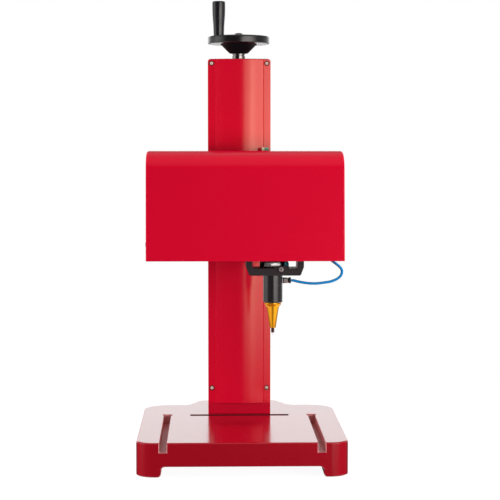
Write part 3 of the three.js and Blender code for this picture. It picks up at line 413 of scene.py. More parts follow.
baseLook = {
    "roughness": 0.3,
    "spread": 0.05,
    "metallic": 0.0,
    "specular": 0.5,
    "tint": (1.0, 1.0, 1.0),  # of the reflection
    "coat": 0.0,
    "coatRoughness": 0.03,
    "ior": 1.5,
    "drift": 0.06,
    "driftScale": 10.0,
    "effect": "orangePeel",
    "effectScale": 380.0,
    "dust": 0.1,
    "depth": 0.01,
    "centre": (0.0, 0.0, 0.0),
}
onStylus = {"effect": "turningMarks", "centre": tuple(nodeBox("stylus_barrel")[2])}
onScrew = {"effect": "turningMarks", "centre": tuple(nodeBox("lead_screw")[2])}
evenSkin = {"dust": 0.0, "depth": 0.005}
looks = {
    "red_paint": {
        "columnRed": dict(
            colour=(0.475, 0.002, 0.018), roughness=0.15, specular=1.0, tint=(0.95, 0.67, 0.5), depth=0.012,
        ),
        "headRed": dict(
            colour=(0.535, 0.001, 0.019), roughness=0.2, specular=0.25, coat=0.15, coatRoughness=0.1,
            depth=0.012,
        ),
        # a darker copy of the red that paints the shade the column foot lies in under the cover
        "footRed": dict(
            colour=(0.39, 0.002, 0.015), roughness=0.2, coat=0.6, coatRoughness=0.14, depth=0.012,
        ),
        # a dark red that paints a line of shade along the column cover's top edge
        "edgeRed": dict(colour=(0.22, 0.006, 0.012), roughness=0.4, specular=0.2, depth=0.012),
    },
    "red_paint_cast": {
        # a darker red than the sheet, in part its own colour and in part painted shade on the base's front
        "castRed": dict(
            colour=(0.285, 0.001, 0.008), roughness=0.2, coat=1.0, coatRoughness=0.16, depth=0.02,
            effectScale=260,
        ),
        # a pale red that paints the white room's reflection and the light missing on the grooves' shaded
        # floors
        "grooveRed": dict(
            colour=(0.60, 0.25, 0.25), roughness=0.5, specular=0.15, depth=0.05, effectScale=700,
        ),
        # a near-black red that paints the shade inside the narrow cross groove
        "grooveDark": dict(
            colour=(0.06, 0.006, 0.009), roughness=0.6, specular=0.1, depth=0.05, effectScale=700,
        ),
        # a pale pink that paints a highlight along the deck's outer edge
        "rimWorn": dict(colour=(0.5, 0.33, 0.34), depth=0.02, effectScale=500),
    },
    "black_plastic": {
        "wheelBlack": dict(
            colour=(0.005, 0.0045, 0.005), roughness=0.28, coat=1.0, coatRoughness=0.18, effectScale=300,
            **evenSkin,
        ),
        "hubBlack": dict(
            colour=(0.004, 0.004, 0.005), roughness=0.5, specular=0.1, depth=0.02, effectScale=600,
        ),
        "handleBlack": dict(
            colour=(0.008, 0.007, 0.009), roughness=0.25, spread=0.0, coat=0.8, coatRoughness=0.18,
            dust=0.0, depth=0.0, effectScale=300,
        ),
        "fittingBlack": dict(colour=(0.012, 0.012, 0.013), effectScale=900, **evenSkin),
    },
    "black_anodised": {
        "barrelBlack": dict(
            colour=(0.014, 0.011, 0.012), roughness=0.25, coat=1.0, coatRoughness=0.18, depth=0.006,
            **onStylus,
        ),
    },
    "black_paint": {
        "holderBlack": dict(colour=(0.020, 0.014, 0.016), roughness=0.36, depth=0.02, effectScale=1400),
        "motorBlack": dict(colour=(0.015, 0.015, 0.016), roughness=0.42, depth=0.02, effectScale=1300),
    },
    "gold_anodised": {
        "gold": dict(
            colour=(0.9, 0.37, 0.014), roughness=0.16, metallic=0.75, specular=0.2, depth=0.004, **onStylus,
        ),
    },
    "steel": {
        # a pale, mostly diffuse nickel whose colour is raised to paint in the light the stylus cap lacks in
        # the head's shade
        "nickel": dict(
            colour=(0.85, 0.82, 0.81), roughness=0.28, metallic=0.3, coat=0.3, depth=0.006, **onStylus,
        ),
        "fittingSteel": dict(colour=(0.42, 0.35, 0.34), metallic=0.6, effectScale=900, depth=0.004),
        "collarSteel": dict(colour=(0.40, 0.37, 0.36), roughness=0.22, metallic=1.0, depth=0.004, **onScrew),
        "pinDark": dict(colour=(0.10, 0.05, 0.045), metallic=0.7, depth=0.006, **onStylus),
        # a pale, warm steel whose colour partly paints the highlight on the cover screws' heads
        "brightSteel": dict(
            colour=(0.78, 0.66, 0.56), metallic=0.35, coat=0.4, effectScale=900, dust=0.0, depth=0.004,
        ),
        "satinSteel": dict(colour=(0.62, 0.61, 0.60), roughness=0.34, metallic=0.75, depth=0.008, **onScrew),
        "stylusSteel": dict(colour=(0.6, 0.6, 0.61), roughness=0.22, metallic=1.0, **onStylus),
        "screwSteel": dict(colour=(0.58, 0.58, 0.59), roughness=0.2, metallic=1.0, **onScrew),
        "groundSteel": dict(colour=(0.55, 0.55, 0.56), roughness=0.24, metallic=1.0, effect="brushed"),
    },
    "dark_steel": {
        # a dark red that paints the shade in the recess round each cover screw
        "recessRed": dict(colour=(0.13, 0.012, 0.013), roughness=0.4, effectScale=900),
        "darkSteel": dict(colour=(0.07, 0.065, 0.062), metallic=1.0, effectScale=1500),
    },
    "aluminium": {
        "aluminium": dict(
            colour=(0.62, 0.63, 0.64), roughness=0.4, metallic=0.75, effect="brushed", depth=0.02,
        ),
        "castGrey": dict(
            colour=(0.42, 0.43, 0.44), roughness=0.42, metallic=0.6, effectScale=1300, depth=0.03,
        ),
    },
    "brass": {"brass": dict(colour=(0.62, 0.44, 0.16), metallic=1.0, effectScale=1200)},
    "green_plastic": {
        "greenPlastic": dict(colour=(0.09, 0.27, 0.18), roughness=0.35, effectScale=1200, depth=0.005),
        "buffPlastic": dict(colour=(0.48, 0.56, 0.34), roughness=0.4, effectScale=1200, depth=0.005),
        "tealPlastic": dict(colour=(0.02, 0.25, 0.3), roughness=0.35, effectScale=1200, depth=0.005),
    },
    "belt_rubber": {
        "beltRubber": dict(colour=(0.012, 0.012, 0.012), roughness=0.7, effectScale=1800, depth=0.02),
    },
    "blue_tube": {
        "blueTube": dict(colour=(0.005, 0.20, 0.50), roughness=0.4, dust=0.0, effectScale=500, depth=0.003),
    },
}


def makeFinish(name, look):
    material = bpy.data.materials.new(name)
    material.use_nodes = True
    tree = material.node_tree
    shader = tree.nodes["Principled BSDF"].inputs
    place = tree.nodes.new("ShaderNodeTexCoord").outputs["Object"]
    drift = addNode(tree, "ShaderNodeGroup", None, node_tree=toneDrift)
    for label, value in (
        ("Colour", (*look["colour"], 1)),
        ("Scale", look["driftScale"]),
        ("Amount", look["drift"]),
        ("Roughness", look["roughness"]),
        ("Spread", look["spread"]),
    ):
        drift.inputs[label].default_value = value
    tree.links.new(place, drift.inputs["Vector"])
    tree.links.new(drift.outputs["Colour"], shader["Base Color"])
    tree.links.new(drift.outputs["Roughness"], shader["Roughness"])
    centring = {"Vector": place, "Location": [c * mm for c in look["centre"]]}
    mapping = addNode(tree, "ShaderNodeMapping", centring, vector_type="TEXTURE")
    group, scaleInput = effects[look["effect"]]
    effect = addNode(tree, "ShaderNodeGroup", None, node_tree=group)
    tree.links.new(mapping.outputs[0], effect.inputs["Vector"])
    effect.inputs[scaleInput].default_value = look["effectScale"]
    if look["effect"] == "orangePeel":
        effect.inputs["Dust"].default_value = look["dust"]
    bump = addNode(tree, "ShaderNodeBump", {
        "Strength": 1.0,
        "Distance": look["depth"] * mm,
        "Height": effect.outputs["Height"],
    })
    tree.links.new(bump.outputs[0], shader["Normal"])
    shader["Metallic"].default_value = look["metallic"]
    shader["Specular IOR Level"].default_value = look["specular"]
    shader["Specular Tint"].default_value = (*look["tint"], 1)
    shader["Coat Weight"].default_value = look["coat"]
    shader["Coat Roughness"].default_value = look["coatRoughness"]
    shader["IOR"].default_value = look["ior"]
    return material


finishes = {}
for slotName, slotLooks in looks.items():
    for lookName, look in slotLooks.items():
        finishes[lookName] = (makeFinish(lookName, {**baseLook, **look}), slotName)
print("finishes made:", len(finishes))


def adopt(piece, body, finishName, *nodes):
    material, slotName = finishes[finishName]
    piece.data.materials.clear()
    piece.data.materials.append(material)
    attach(piece, body)
    if nodes:
        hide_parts(*nodes)
    return piece


def secondFinish(piece, finishName, pick):
    # faces whose middle, in millimetres, is picked take another finish
    piece.data.materials.append(finishes[finishName][0])
    for face in piece.data.polygons:
        if pick(face.center / mm):
            face.material_index = len(piece.data.materials) - 1
    return piece


def dressed(node, finishName, edge=0.4, steps=2):
    # the solid as it is, with its edges broken
    piece = softEdges(copyOf(node), edge, steps, clamp=True)
    return adopt(smooth(piece), bodyOfNode(node), finishName, node)


# Air tube, from the fitting on the stylus round to the one on the gantry

airTube = {
    "diameter": 4.0,
    "sides": 24,
    "stepsPerSpan": 8,
    "route": [
        (74.3, -85, 272), (78.5, -85, 271.6), (84.7, -85, 270.0), (97.8, -85, 267.8),
        (110.9, -85, 267.2), (124.2, -85, 268.6), (133.5, -85, 270.2), (142.9, -85, 274.2),
        (148.2, -85, 279.2), (149.7, -85, 284.6), (148.6, -85, 288.9), (145.2, -84.6, 292.9),
        (140.8, -83, 296.4), (134.2, -77, 301.2), (127.3, -68, 305.4), (121.5, -57, 308.6),
        (118.7, -49.2, 312.5), (118, -46.2, 316.3), (118, -46, 320),
    ],
}


def smoothRoute(points, stepsPerSpan):
    # centripetal Catmull-Rom curve through the points
    chain = [points[0] * 2 - points[1], *points, points[-1] * 2 - points[-2]]
    route = []
    for p0, p1, p2, p3 in zip(chain, chain[1:], chain[2:], chain[3:]):
        t1 = math.sqrt((p1 - p0).length)
        t2 = t1 + math.sqrt((p2 - p1).length)
        t3 = t2 + math.sqrt((p3 - p2).length)
        for k in range(stepsPerSpan):
            t = t1 + (t2 - t1) * k / stepsPerSpan
            a1 = p0 * ((t1 - t) / t1) + p1 * (t / t1)
            a2 = p1 * ((t2 - t) / (t2 - t1)) + p2 * ((t - t1) / (t2 - t1))
            a3 = p2 * ((t3 - t) / (t3 - t2)) + p3 * ((t - t2) / (t3 - t2))
            b1 = a1 * ((t2 - t) / t2) + a2 * (t / t2)
            b2 = a2 * ((t3 - t) / (t3 - t1)) + a3 * ((t - t1) / (t3 - t1))
            route.append(b1 * ((t2 - t) / (t2 - t1)) + b2 * ((t - t1) / (t2 - t1)))
    return [*route, points[-1]]


def sweptTube(name, route, radius, sides):
    bm = bmesh.new()
    rings = []
    side = Vector((0, 0, 1))
    angles = [2 * math.pi * k / sides for k in range(sides)]
    for i, spot in enumerate(route):
        ahead = (route[min(i + 1, len(route) - 1)] - route[max(i - 1, 0)]).normalized()
        side = (side - ahead * side.dot(ahead)).normalized()
        other = ahead.cross(side)
        around = [side * math.cos(a) + other * math.sin(a) for a in angles]
        rings.append([bm.verts.new(spot + reach * radius) for reach in around])
    for first, second in zip(rings, rings[1:]):
        joinRings(bm, first, second, sides)
    bm.faces.new(rings[0])
    bm.faces.new(rings[-1])
    return finished(name, bm)


tubeRoute = smoothRoute([Vector(p) for p in airTube["route"]], airTube["stepsPerSpan"])
tube = smooth(sweptTube("air_tube_blue", tubeRoute, airTube["diameter"] / 2, airTube["sides"]), 60)
tube.data.materials.append(finishes["blueTube"][0])
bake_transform(tube)
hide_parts("air_tube")


# Base casting

base = {
    "frontCorner": 26,
    "rearCorner": 40,
    "shoulderY": 147,
    "tongueRoot": 164,
    "tongueWidth": 125,
    "tongueCorner": 14,
    "footHeight": 15,
    "footWidth": 36,
    "footDepth": 45,
    "archTop": 6,
    "archFoot": 5,
    "skirt": 14,
    "pocketDepth": 14,
    "footPad": 22,
    "grooveX": 113,
    "grooveWidth": 11,
    "grooveDepth": 14.5,
    "pocketWidth": 14,
    "crossWidth": 13,
    "crossLength": 154,
    "crossGap": 6,
    "topEdge": 2.2,
    "lowerEdge": 1.6,
    "grooveEdge": 0.7,
    "rearRim": 3,  # how far the painted highlight on the edge reaches in at the rear
}


def archOutline(low, high):
    # what is cut away between two feet, with a flared foot on both sides
    foot = base["archFoot"]
    middle = (low + high) / 2
    right = [
        (high + foot + 1, -1),
        (high + foot + 1, 0),
        (high, 0, foot),
        (high, base["footHeight"], base["archTop"]),
    ]
    return filleted(bothHalves(right, middle))


def baseCasting():
    low, high = nodeBox("base_casting")[:2]
    half = high.x
    deck = high.z
    shoulder = base["shoulderY"]
    right = [
        (half, low.y, base["frontCorner"]),
        (half, shoulder, base["rearCorner"]),
        (base["tongueRoot"] / 2, shoulder, base["tongueCorner"]),
        (base["tongueWidth"] / 2, high.y, base["tongueCorner"]),
    ]
    plan = filleted(bothHalves(right), steps=14)
    casting = prism("base_body", plan, (0, deck), topRound=base["topEdge"])
    innerX = half - base["footWidth"]
    skirtX = half - base["skirt"]
    archFront = low.y + base["footDepth"]
    archRear = shoulder - base["footDepth"]
    pad = base["footPad"] / 2
    pocketY = (low.y + base["skirt"], shoulder - base["skirt"])
    pocketZ = (base["footHeight"] - 1, base["footHeight"] + base["pocketDepth"])
    cut(
        casting,
        prism("arch", archOutline(-innerX, innerX), (low.y - 1, high.y + 1), "Y"),
        prism("arch", archOutline(archFront, archRear), (-half - 1, half + 1), "X"),
        block("pocket", (pad - innerX, innerX - pad), pocketY, pocketZ),
        block("pocket", (-skirtX, skirtX), (archFront + pad, archRear - pad), pocketZ),
    )
    crossRear = nodeBox("column_foot")[0].y - base["crossGap"]
    crossFront = crossRear - base["crossWidth"]
    crossHalf = base["crossLength"] / 2
    grooveFloor = deck - base["grooveDepth"]
    grooveZ = (grooveFloor, deck + 1)
    long = base["grooveWidth"] / 2
    wide = base["pocketWidth"] / 2
    for x in (-base["grooveX"], base["grooveX"]):
        cut(
            casting,
            block("groove", (x - long, x + long), (low.y - 1, crossRear), grooveZ),
            block("groove", (x - wide, x + wide), (crossFront, crossRear), grooveZ),
        )
    cut(casting, block("groove", (-crossHalf, crossHalf), (crossFront, crossRear), grooveZ))
    softEdges(casting, base["grooveEdge"], 2, 50, lambda p: p.z > grooveFloor - 0.5)
    softEdges(casting, base["lowerEdge"], 3, 50, lambda p: p.z < base["footHeight"] + 0.5)
    adopt(smooth(casting), "stand", "castRed", "base_casting")

    def inGroove(p):
        # the walls and floors of the long grooves, rougher, in a pale red that paints in the reflection of
        # the white room
        near = abs(abs(p.x) - base["grooveX"]) < wide + 0.2 and p.y < crossRear + 0.2
        return near and grooveFloor - 0.1 < p.z < deck - 1.2

    def inCross(p):
        # the floor and walls of the cross groove, which take a painted shade
        near = abs(p.x) < crossHalf + 0.2 and crossFront - 0.2 < p.y < crossRear + 0.2
        return near and grooveFloor - 0.1 < p.z < deck - 0.05

    def onRim(p):
        # the outer edge at the rear and the sides, painted pale as a highlight
        outside = p.y > shoulder - base["rearRim"] or abs(p.x) > half - base["topEdge"]
        behind = p.y > low.y + base["frontCorner"]
        return outside and behind and deck - base["topEdge"] < p.z < deck - 0.05

    # the long grooves take a painted reflection
    secondFinish(casting, "grooveRed", inGroove)
    # the cross groove takes a painted shade
    secondFinish(casting, "grooveDark", inCross)
    # the rear and side rims take a painted highlight
    secondFinish(casting, "rimWorn", onRim)


baseCasting()
print("base casting done")


# Column: foot, housing, cap and the arched front cover with its four screws

column = {
    "archWidth": 74.5,
    "archRise": 5,
    "archSteps": 44,
    "sheet": 2.0,
    "flangeBend": 6.0,  # degrees that the flanges are folded back
    "creaseWidth": 1.3,
    "creaseDepth": 0.12,
    "creaseRound": 1.2,
    "cornerRadius": 4.6,
    "rearCorner": 3,
    "edge": 0.45,
    "browRound": 1.3,  # of the cover's upper front edge, which carries a painted line of shade
    "boreGap": 0.6,
}


def coverPlan(low, high):
    # the bent sheet seen from above: the arc, a crease at each end of it and a flange folded back
    half = column["archWidth"] / 2
    rise = column["archRise"]
    radius = (half * half + rise * rise) / (2 * rise)
    crease = column["creaseWidth"]
    reach = math.asin((half - crease) / radius)
    fold = math.tan(math.radians(column["flangeBend"]))
    steps = column["archSteps"]
    footY = low.y + rise
    angles = [reach * (2 * k / steps - 1) for k in range(steps + 1)]
    arc = [(radius * math.sin(a), low.y + radius * (1 - math.cos(a))) for a in angles]
    rightEnd = [
        (half, footY + column["creaseDepth"], column["creaseRound"]),
        (half + crease, footY + crease * fold, column["creaseRound"]),
        (high.x, footY + (high.x - half) * fold),
    ]
    front = filleted([*mirrored(rightEnd), *arc, *rightEnd], closed=False, steps=3)
    return front + [p + Vector((0, column["sheet"])) for p in reversed(front)]


def cornerLimit(low, high):
    # a block along Y whose upper corners are round, to shape what stands behind the front cover
    face = filleted([
        (low.x - 0.01, low.z - 0.01),
        (high.x + 0.01, low.z - 0.01),
        (high.x + 0.01, high.z, column["cornerRadius"]),
        (low.x - 0.01, high.z, column["cornerRadius"]),
    ])
    return prism("limit", face, (low.y - 3, high.y + 3), "Y")


def columnFrontCover():
    low, high = nodeBox("column_front_cover")[:2]
    sheet = prism("column_cover", coverPlan(low, high), (low.z, high.z))
    combined(sheet, "INTERSECT", cornerLimit(low, high))
    frontY = low.y + column["archRise"] + 1
    brow = column["browRound"]
    softEdges(sheet, brow, 4, 50, lambda p: p.z > high.z - 0.2 and p.y < frontY and abs(p.x) < high.x - 1)
    softEdges(sheet, column["edge"], 3, 50)
    adopt(smooth(sheet, 30), "stand", "columnRed", "column_front_cover")
    # the faces along the top edge take a painted line of shade
    secondFinish(sheet, "edgeRed", lambda p: p.z > high.z - brow * 0.75)


def columnCap():
    low, high = nodeBox("column_top_cap")[:2]
    frontY = low.y + 0.05
    rear = column["rearCorner"]
    plan = filleted([(low.x, frontY), (high.x, frontY), (high.x, high.y, rear), (low.x, high.y, rear)])
    cap = prism("column_lid", plan, (low.z, high.z))
    combined(cap, "INTERSECT", cornerLimit(low, high))
    collarEnd, axis = nodeBox("top_bearing")[1:]
    bore = collarEnd.x - axis.x + column["boreGap"]
    cut(cap, rod("bore", bore, (low.z - 1, high.z + 1), (0, axis.y, 0)))
    softEdges(cap, 0.6, 3, 50)
    adopt(smooth(cap), "stand", "columnRed", "column_top_cap")


# Fasteners: one template of each kind, set on its places by Geometry Nodes

fastener = {
    "steps": 32,
    "shank": -0.3,
    "shankShare": 0.5,  # of the head's radius
    "domeSteps": 8,
    "wallShare": 0.25,  # of a domed head's height
    "capRound": 0.3,
    "socketFoot": 0.4,  # the height of the socket's floor, as a share of the head's
}
coverScrew = {
    "washer": [
        (0, -0.9), (4.1, -0.9), (4.1, 0.2), (3.9, 0.5), (3.4, 0.7), (2.9, 0.55), (2.8, 0.1), (0, 0.1),
    ],
    "headRadius": 2.3,
    "headHeight": 1.9,
    "socket": 1.1,
}


def endTree(tree, geometry, finish):
    # every tree ends in real faces of one finish
    realize = addNode(tree, "GeometryNodeRealizeInstances", {0: geometry})
    paint = addNode(tree, "GeometryNodeSetMaterial", {"Geometry": realize.outputs[0], "Material": finish})
    addNode(tree, "NodeGroupOutput", {0: paint.outputs[0]})
    return tree


def scatterTree():
    inputs = [("Geometry", "Geometry"), ("Template", "Object"), ("Size", "Float"), ("Finish", "Material")]
    tree, given = newGroup("setOnPlaces", inputs, [("Geometry", "Geometry")], "GeometryNodeTree")
    info = addNode(tree, "GeometryNodeObjectInfo", {"Object": given["Template"]})
    facing = addNode(tree, "GeometryNodeInputNamedAttribute", None, data_type="FLOAT_VECTOR")
    facing.inputs["Name"].default_value = "facing"
    turn = addNode(tree, "FunctionNodeEulerToRotation", {0: facing.outputs["Attribute"]})
    place = addNode(tree, "GeometryNodeInstanceOnPoints", {
        "Points": given["Geometry"],
        "Instance": info.outputs["Geometry"],
        "Rotation": turn.outputs[0],
        "Scale": given["Size"],
    })
    return endTree(tree, place.outputs["Instances"], given["Finish"])


setOnPlaces = scatterTree()


def withInputs(target, tree, **values):
    modifier = target.modifiers.new(tree.name, "NODES")
    modifier.node_group = tree
    keys = {item.name: item.identifier for item in tree.interface.items_tree if item.in_out == "INPUT"}
    for label, value in values.items():
        modifier[keys[label]] = value
    return applied(target)


def turnTo(direction, across=None):
    # the turn that brings Z to the direction and, where it is given, X to the axis across
    z = Vector(direction).normalized()
    if across is None:
        return Vector((0, 0, 1)).rotation_difference(z).to_euler()
    x = Vector(across).normalized()
    return Matrix((x, z.cross(x), z)).transposed().to_euler()


def onPlaces(name, places, template, turns, finishName):
    # the template on every place, with one turn for all of them or a list with one for each
    group = newPiece(name)
    group.data.from_pydata([Vector(p) * mm for p in places], [], [])
    facing = group.data.attributes.new("facing", "FLOAT_VECTOR", "POINT")
    for i, item in enumerate(facing.data):
        item.vector = turns[i] if isinstance(turns, list) else turns
    withInputs(group, setOnPlaces, Template=template, Size=1.0, Finish=finishes[finishName][0])
    bpy.data.objects.remove(template)
    return group


def scattered(name, places, template, turns, finishName, body, *nodes):
    return adopt(onPlaces(name, places, template, turns, finishName), body, finishName, *nodes)


def screwHead(profile, height, socket):
    # a screw head about Z, its seat at zero, with a hexagon socket sunk into its top
    foot = height * fastener["socketFoot"]
    head = turned("screw", profile, steps=fastener["steps"])
    return smooth(cut(head, rod("socket", socket, (foot, foot + 9), steps=6)), 40)


def domedHead(radius, height, socket, shank=fastener["shank"]):
    wall = fastener["wallShare"]
    inner = radius * fastener["shankShare"]
    angles = [math.pi / 2 * k / fastener["domeSteps"] for k in range(1, fastener["domeSteps"] + 1)]
    dome = [(radius * math.sin(a), height * (wall + (1 - wall) * math.cos(a))) for a in angles]
    foot = [(radius, 0.0), (inner, 0.0), (inner, shank), (0, shank)]
    return screwHead([(0, height), *dome, *foot], height, socket)


def capHead(radius, height, socket):
    low = fastener["shank"]
    corners = [(0, low), (radius, low), (radius, height, fastener["capRound"]), (0, height)]
    return screwHead(filleted(corners, False, 3), height, socket)


def coverScrews():
    nodes = ["cover_screw_" + str(i) for i in range(1, 5)]
    seatY = nodeBox("column_front_cover")[0].y + column["archRise"] + 0.5
    places = [(middle.x, seatY, middle.z) for low, high, middle in map(nodeBox, nodes)]
    washer = smooth(turned("washer", coverScrew["washer"], steps=40), 40)
    head = domedHead(coverScrew["headRadius"], coverScrew["headHeight"], coverScrew["socket"])
    turn = turnTo((0, -1, 0))
    # the washers' dark red paints the shade of the recess round each head
    scattered("cover_screw_washers", places, washer, turn, "recessRed", "stand", *nodes)
    # the heads' pale warm colour partly paints their highlight
    scattered("cover_screw_heads", places, head, turn, "brightSteel", "stand")


columnFrontCover()
# the column foot's darker red paints the shade under the cover
dressed("column_foot", "footRed", 0.8, 3)
dressed("column_housing", "columnRed", 0.6, 3)
columnCap()
coverScrews()
print("column done")


# Handwheel, its nut, handle and collar

wheel = {
    "bore": 6.2,
    "rimHeight": 12,
    "rimWidth": 9,
    "webThickness": 5,
    "coneRadius": 29,
    "hubRadius": 15.9,
    "hubEdge": 1.2,
    "bossRadius": 13,
    "rimFootRound": 1.4,
    "rimTopRound": 2.6,
    "rimInnerRound": 1.6,
    "slope": 2,  # of the rim's and the boss's inner walls, and their rounds
    "handleBoss": 10,
}
wheelNut = {
    "washer": [(0, 0), (8, 0, 0.4), (8, 1.4, 0.5), (6.6, 1.4), (6.4, 2.2, 0.3), (0, 2.2)],
    "hexagon": [(0, 1.2), (6.2, 1.2), (6.2, 4.6), (5.4, 5.2), (0, 5.2)],
    "domeRadius": 4.9,
    "domeFoot": 4.4,
    "crownFoot": 5.0,
    "crownDrop": 1.2,  # from the solid's top to the crown's
}
crank = {
    "bulge": [(8.5, 4), (8.65, 9), (8.95, 15), (9.5, 22), (10.05, 30), (10.3, 38), (10.35, 44)],
    "topRadius": 10.3,
    "topRound": 2.2,
    "foot": [(8.3, 0.3), (8.35, 1.2)],  # radius and round of the lower edge, then the first of the bulge
    "bore": 4.3,
    "boreDepth": 42,
    "skirt": 7.35,  # hides the shoulder of the spindle
    "footGap": 0.15,
}
collar = {
    "bore": 6.3,
    "lowGroove": [(0, 1.2), (0.8, 1.6), (0.8, 2.6), (0, 3.0)],  # inset and height
    "highGroove": [(0, 0), (1.2, 0.4), (1.2, 1.4), (0.3, 1.8)],
    "highShare": 0.62,  # of the collar's height, where the upper groove starts
    "topInset": 0.3,
    "topRound": 0.8,
}


def handwheel():
    low, high = nodeBox("handwheel")[:2]
    axis = nodeBox("lead_screw")[2]
    radius = (high.x - low.x) / 2
    top = high.z
    rimFoot = top - wheel["rimHeight"]
    web = rimFoot + wheel["webThickness"]
    rimInner = radius - wheel["rimWidth"]
    slope = wheel["slope"]
    body = lathed("handwheel_body", [
        (wheel["bore"], low.z),
        (wheel["hubRadius"] - wheel["hubEdge"], low.z, 0.5),
        (wheel["hubRadius"], low.z + wheel["hubEdge"], 0.8),
        (wheel["coneRadius"], rimFoot, 2),
        (radius, rimFoot, wheel["rimFootRound"]),
        (radius, top, wheel["rimTopRound"]),
        (rimInner, top, wheel["rimInnerRound"]),
        (rimInner - slope, web, slope),
        (wheel["bossRadius"] + slope, web, slope),
        (wheel["bossRadius"], top, 1),
        (wheel["bore"], top),
    ], (axis.x, axis.y, 0), steps=160, fine=8, closed=True)
    spindle = nodeBox("handle_spindle")[2]
    boss = [(0, web - 1), (wheel["handleBoss"], web - 1), (wheel["handleBoss"], top, 1), (0, top)]
    joined(body, lathed("boss", boss, (spindle.x, spindle.y, 0)))
    adopt(smooth(body, 40), "screw", "wheelBlack", "handwheel")
    secondFinish(body, "hubBlack", lambda p: p.z < rimFoot - 0.15)


def handwheelNut():
    low, high, middle = nodeBox("handwheel_nut")
    place = (middle.x, middle.y, low.z)
    nut = lathed("wheel_nut", wheelNut["washer"], place)
    radius = wheelNut["domeRadius"]
    foot = wheelNut["crownFoot"]
    rise = high.z - low.z - foot - wheelNut["crownDrop"]
    angles = [math.radians(9 * k) for k in range(10)]
    crown = [(radius * math.cos(a), foot + rise * math.sin(a)) for a in angles]
    dome = [(0, wheelNut["domeFoot"]), (radius, wheelNut["domeFoot"]), *crown, (0, foot + rise)]
    hexagon = turned("hexagon", wheelNut["hexagon"], place, steps=6)
    joined(nut, hexagon, turned("dome", dome, place, steps=64))
    softEdges(nut, 0.25, 2, 40, clamp=True)
    adopt(smooth(nut, 40), "screw", "collarSteel", "handwheel_nut")


def crankHandle():
    low, high = nodeBox("crank_handle")[:2]
    axis = nodeBox("handle_spindle")[2]
    length = high.z - low.z
    foot = nodeBox("handwheel")[1].z + crank["footGap"] - low.z
    bore, depth, skirt = crank["bore"], crank["boreDepth"], crank["skirt"]
    (lowRadius, lowRound), first = crank["foot"]
    rim = (crank["topRadius"], length, crank["topRound"])
    top = filleted([crank["bulge"][-1], rim, (0, length)], False, 10)
    shoulder = filleted([(skirt, foot), (lowRadius, foot, lowRound), first], False, 3)
    profile = [(0, depth), (bore, depth), (bore, 0), (skirt, 0), *shoulder, *crank["bulge"], *top[1:]]
    grip = turned("crank_grip", profile, (axis.x, axis.y, low.z))
    adopt(smooth(grip, 50), "crank", "handleBlack", "crank_handle")


def topBearing():
    low, high, axis = nodeBox("top_bearing")
    columnTop = nodeBox("column_top_cap")[1].z
    foot = low.z - columnTop
    seen = high.z - columnTop
    radius = (high.x - low.x) / 2
    grooves = [(radius - inset, z) for inset, z in collar["lowGroove"]]
    grooves += [(radius - inset, seen * collar["highShare"] + z) for inset, z in collar["highGroove"]]
    end = [(radius - collar["topInset"], seen, collar["topRound"]), (collar["bore"], seen)]
    corners = [(collar["bore"], foot), (radius, foot), *grooves, *end]
    body = lathed("bearing_collar", corners, (axis.x, axis.y, columnTop), steps=96, closed=True)
    adopt(smooth(body, 30), "stand", "collarSteel", "top_bearing")


handwheel()
handwheelNut()
crankHandle()
topBearing()
print("handwheel done")


# Head cover: front, top and two sides bent from one sheet

head = {
    "lean": 10,
    "roundHeight": 27,
    "roundDepth": 36,
    "roundSteps": 32,
    "sheet": 1.5,
    "frontRound": 1.7,  # of the upright corners, wider along the top
    "topRound": 4.2,
    "cornerSteps": 6,
    "edge": 0.3,
}


def coverPath(low, high):
    # up the leaning front, over the round and back to the rear edge, in YZ
    roundStart = Vector((low.y + head["lean"] + head["roundDepth"], high.z - head["roundHeight"]))
    angles = [math.pi / 2 * k / head["roundSteps"] for k in range(head["roundSteps"] + 1)]
    arc = [Vector((-head["roundDepth"] * math.cos(a), head["roundHeight"] * math.sin(a))) for a in angles]
    return [Vector((low.y, low.z)), *[roundStart + reach for reach in arc], Vector((high.y, high.z))]


def coverRow(bm, low, high, spot, outward, radius):
    # one line across the sheet, with a round corner down to each side
    row = []
    count = head["cornerSteps"]
    for side, edgeX in ((1, low.x), (-1, high.x)):
        corner = []
        for k in range(count + 1):
            angle = math.pi / 2 * k / count
            inward = outward * (radius - radius * math.sin(angle))
            y, z = spot - inward
            corner.append(bm.verts.new((edgeX + side * radius * (1 - math.cos(angle)), y, max(z, low.z))))
        row += corner if side > 0 else reversed(corner)
    return row


def headCover():
    low, high = nodeBox("head_cover")[:2]
    path = coverPath(low, high)
    bm = bmesh.new()
    rows = []
    for i, spot in enumerate(path):
        along = (path[min(i + 1, len(path) - 1)] - path[max(i - 1, 0)]).normalized()
        share = min(max((i - 1) / head["roundSteps"], 0), 1)
        radius = head["frontRound"] + (head["topRound"] - head["frontRound"]) * share
        rows.append(coverRow(bm, low, high, spot, Vector((-along.y, along.x)), radius))
    for first, second in zip(rows, rows[1:]):
        for k in range(len(first) - 1):
            bm.faces.new((first[k], first[k + 1], second[k + 1], second[k]))
    for end, x in ((0, low.x), (-1, high.x)):
        bm.faces.new([row[end] for row in rows] + [bm.verts.new((x, high.y, low.z))])
    bmesh.ops.recalc_face_normals(bm, faces=bm.faces)
    if sum(f.normal.z * f.calc_area() for f in bm.faces) < 0:
        bmesh.ops.reverse_faces(bm, faces=bm.faces)
    shell = finished("head_shell", bm, faceOut=False)
    wall = shell.modifiers.new("wall", "SOLIDIFY")
    wall.thickness = head["sheet"] * mm
    wall.offset = -1
    wall.use_even_offset = True
    applied(shell)
    softEdges(shell, head["edge"], 2, 50, lambda p: p.z < low.z + 0.3 or p.y > high.y - 0.3, clamp=True)
    adopt(smooth(shell, 30), "head", "headRed", "head_cover")


headCover()
print("head cover done")


# Stylus: its holder, clamp screw, cap, fittings and pin

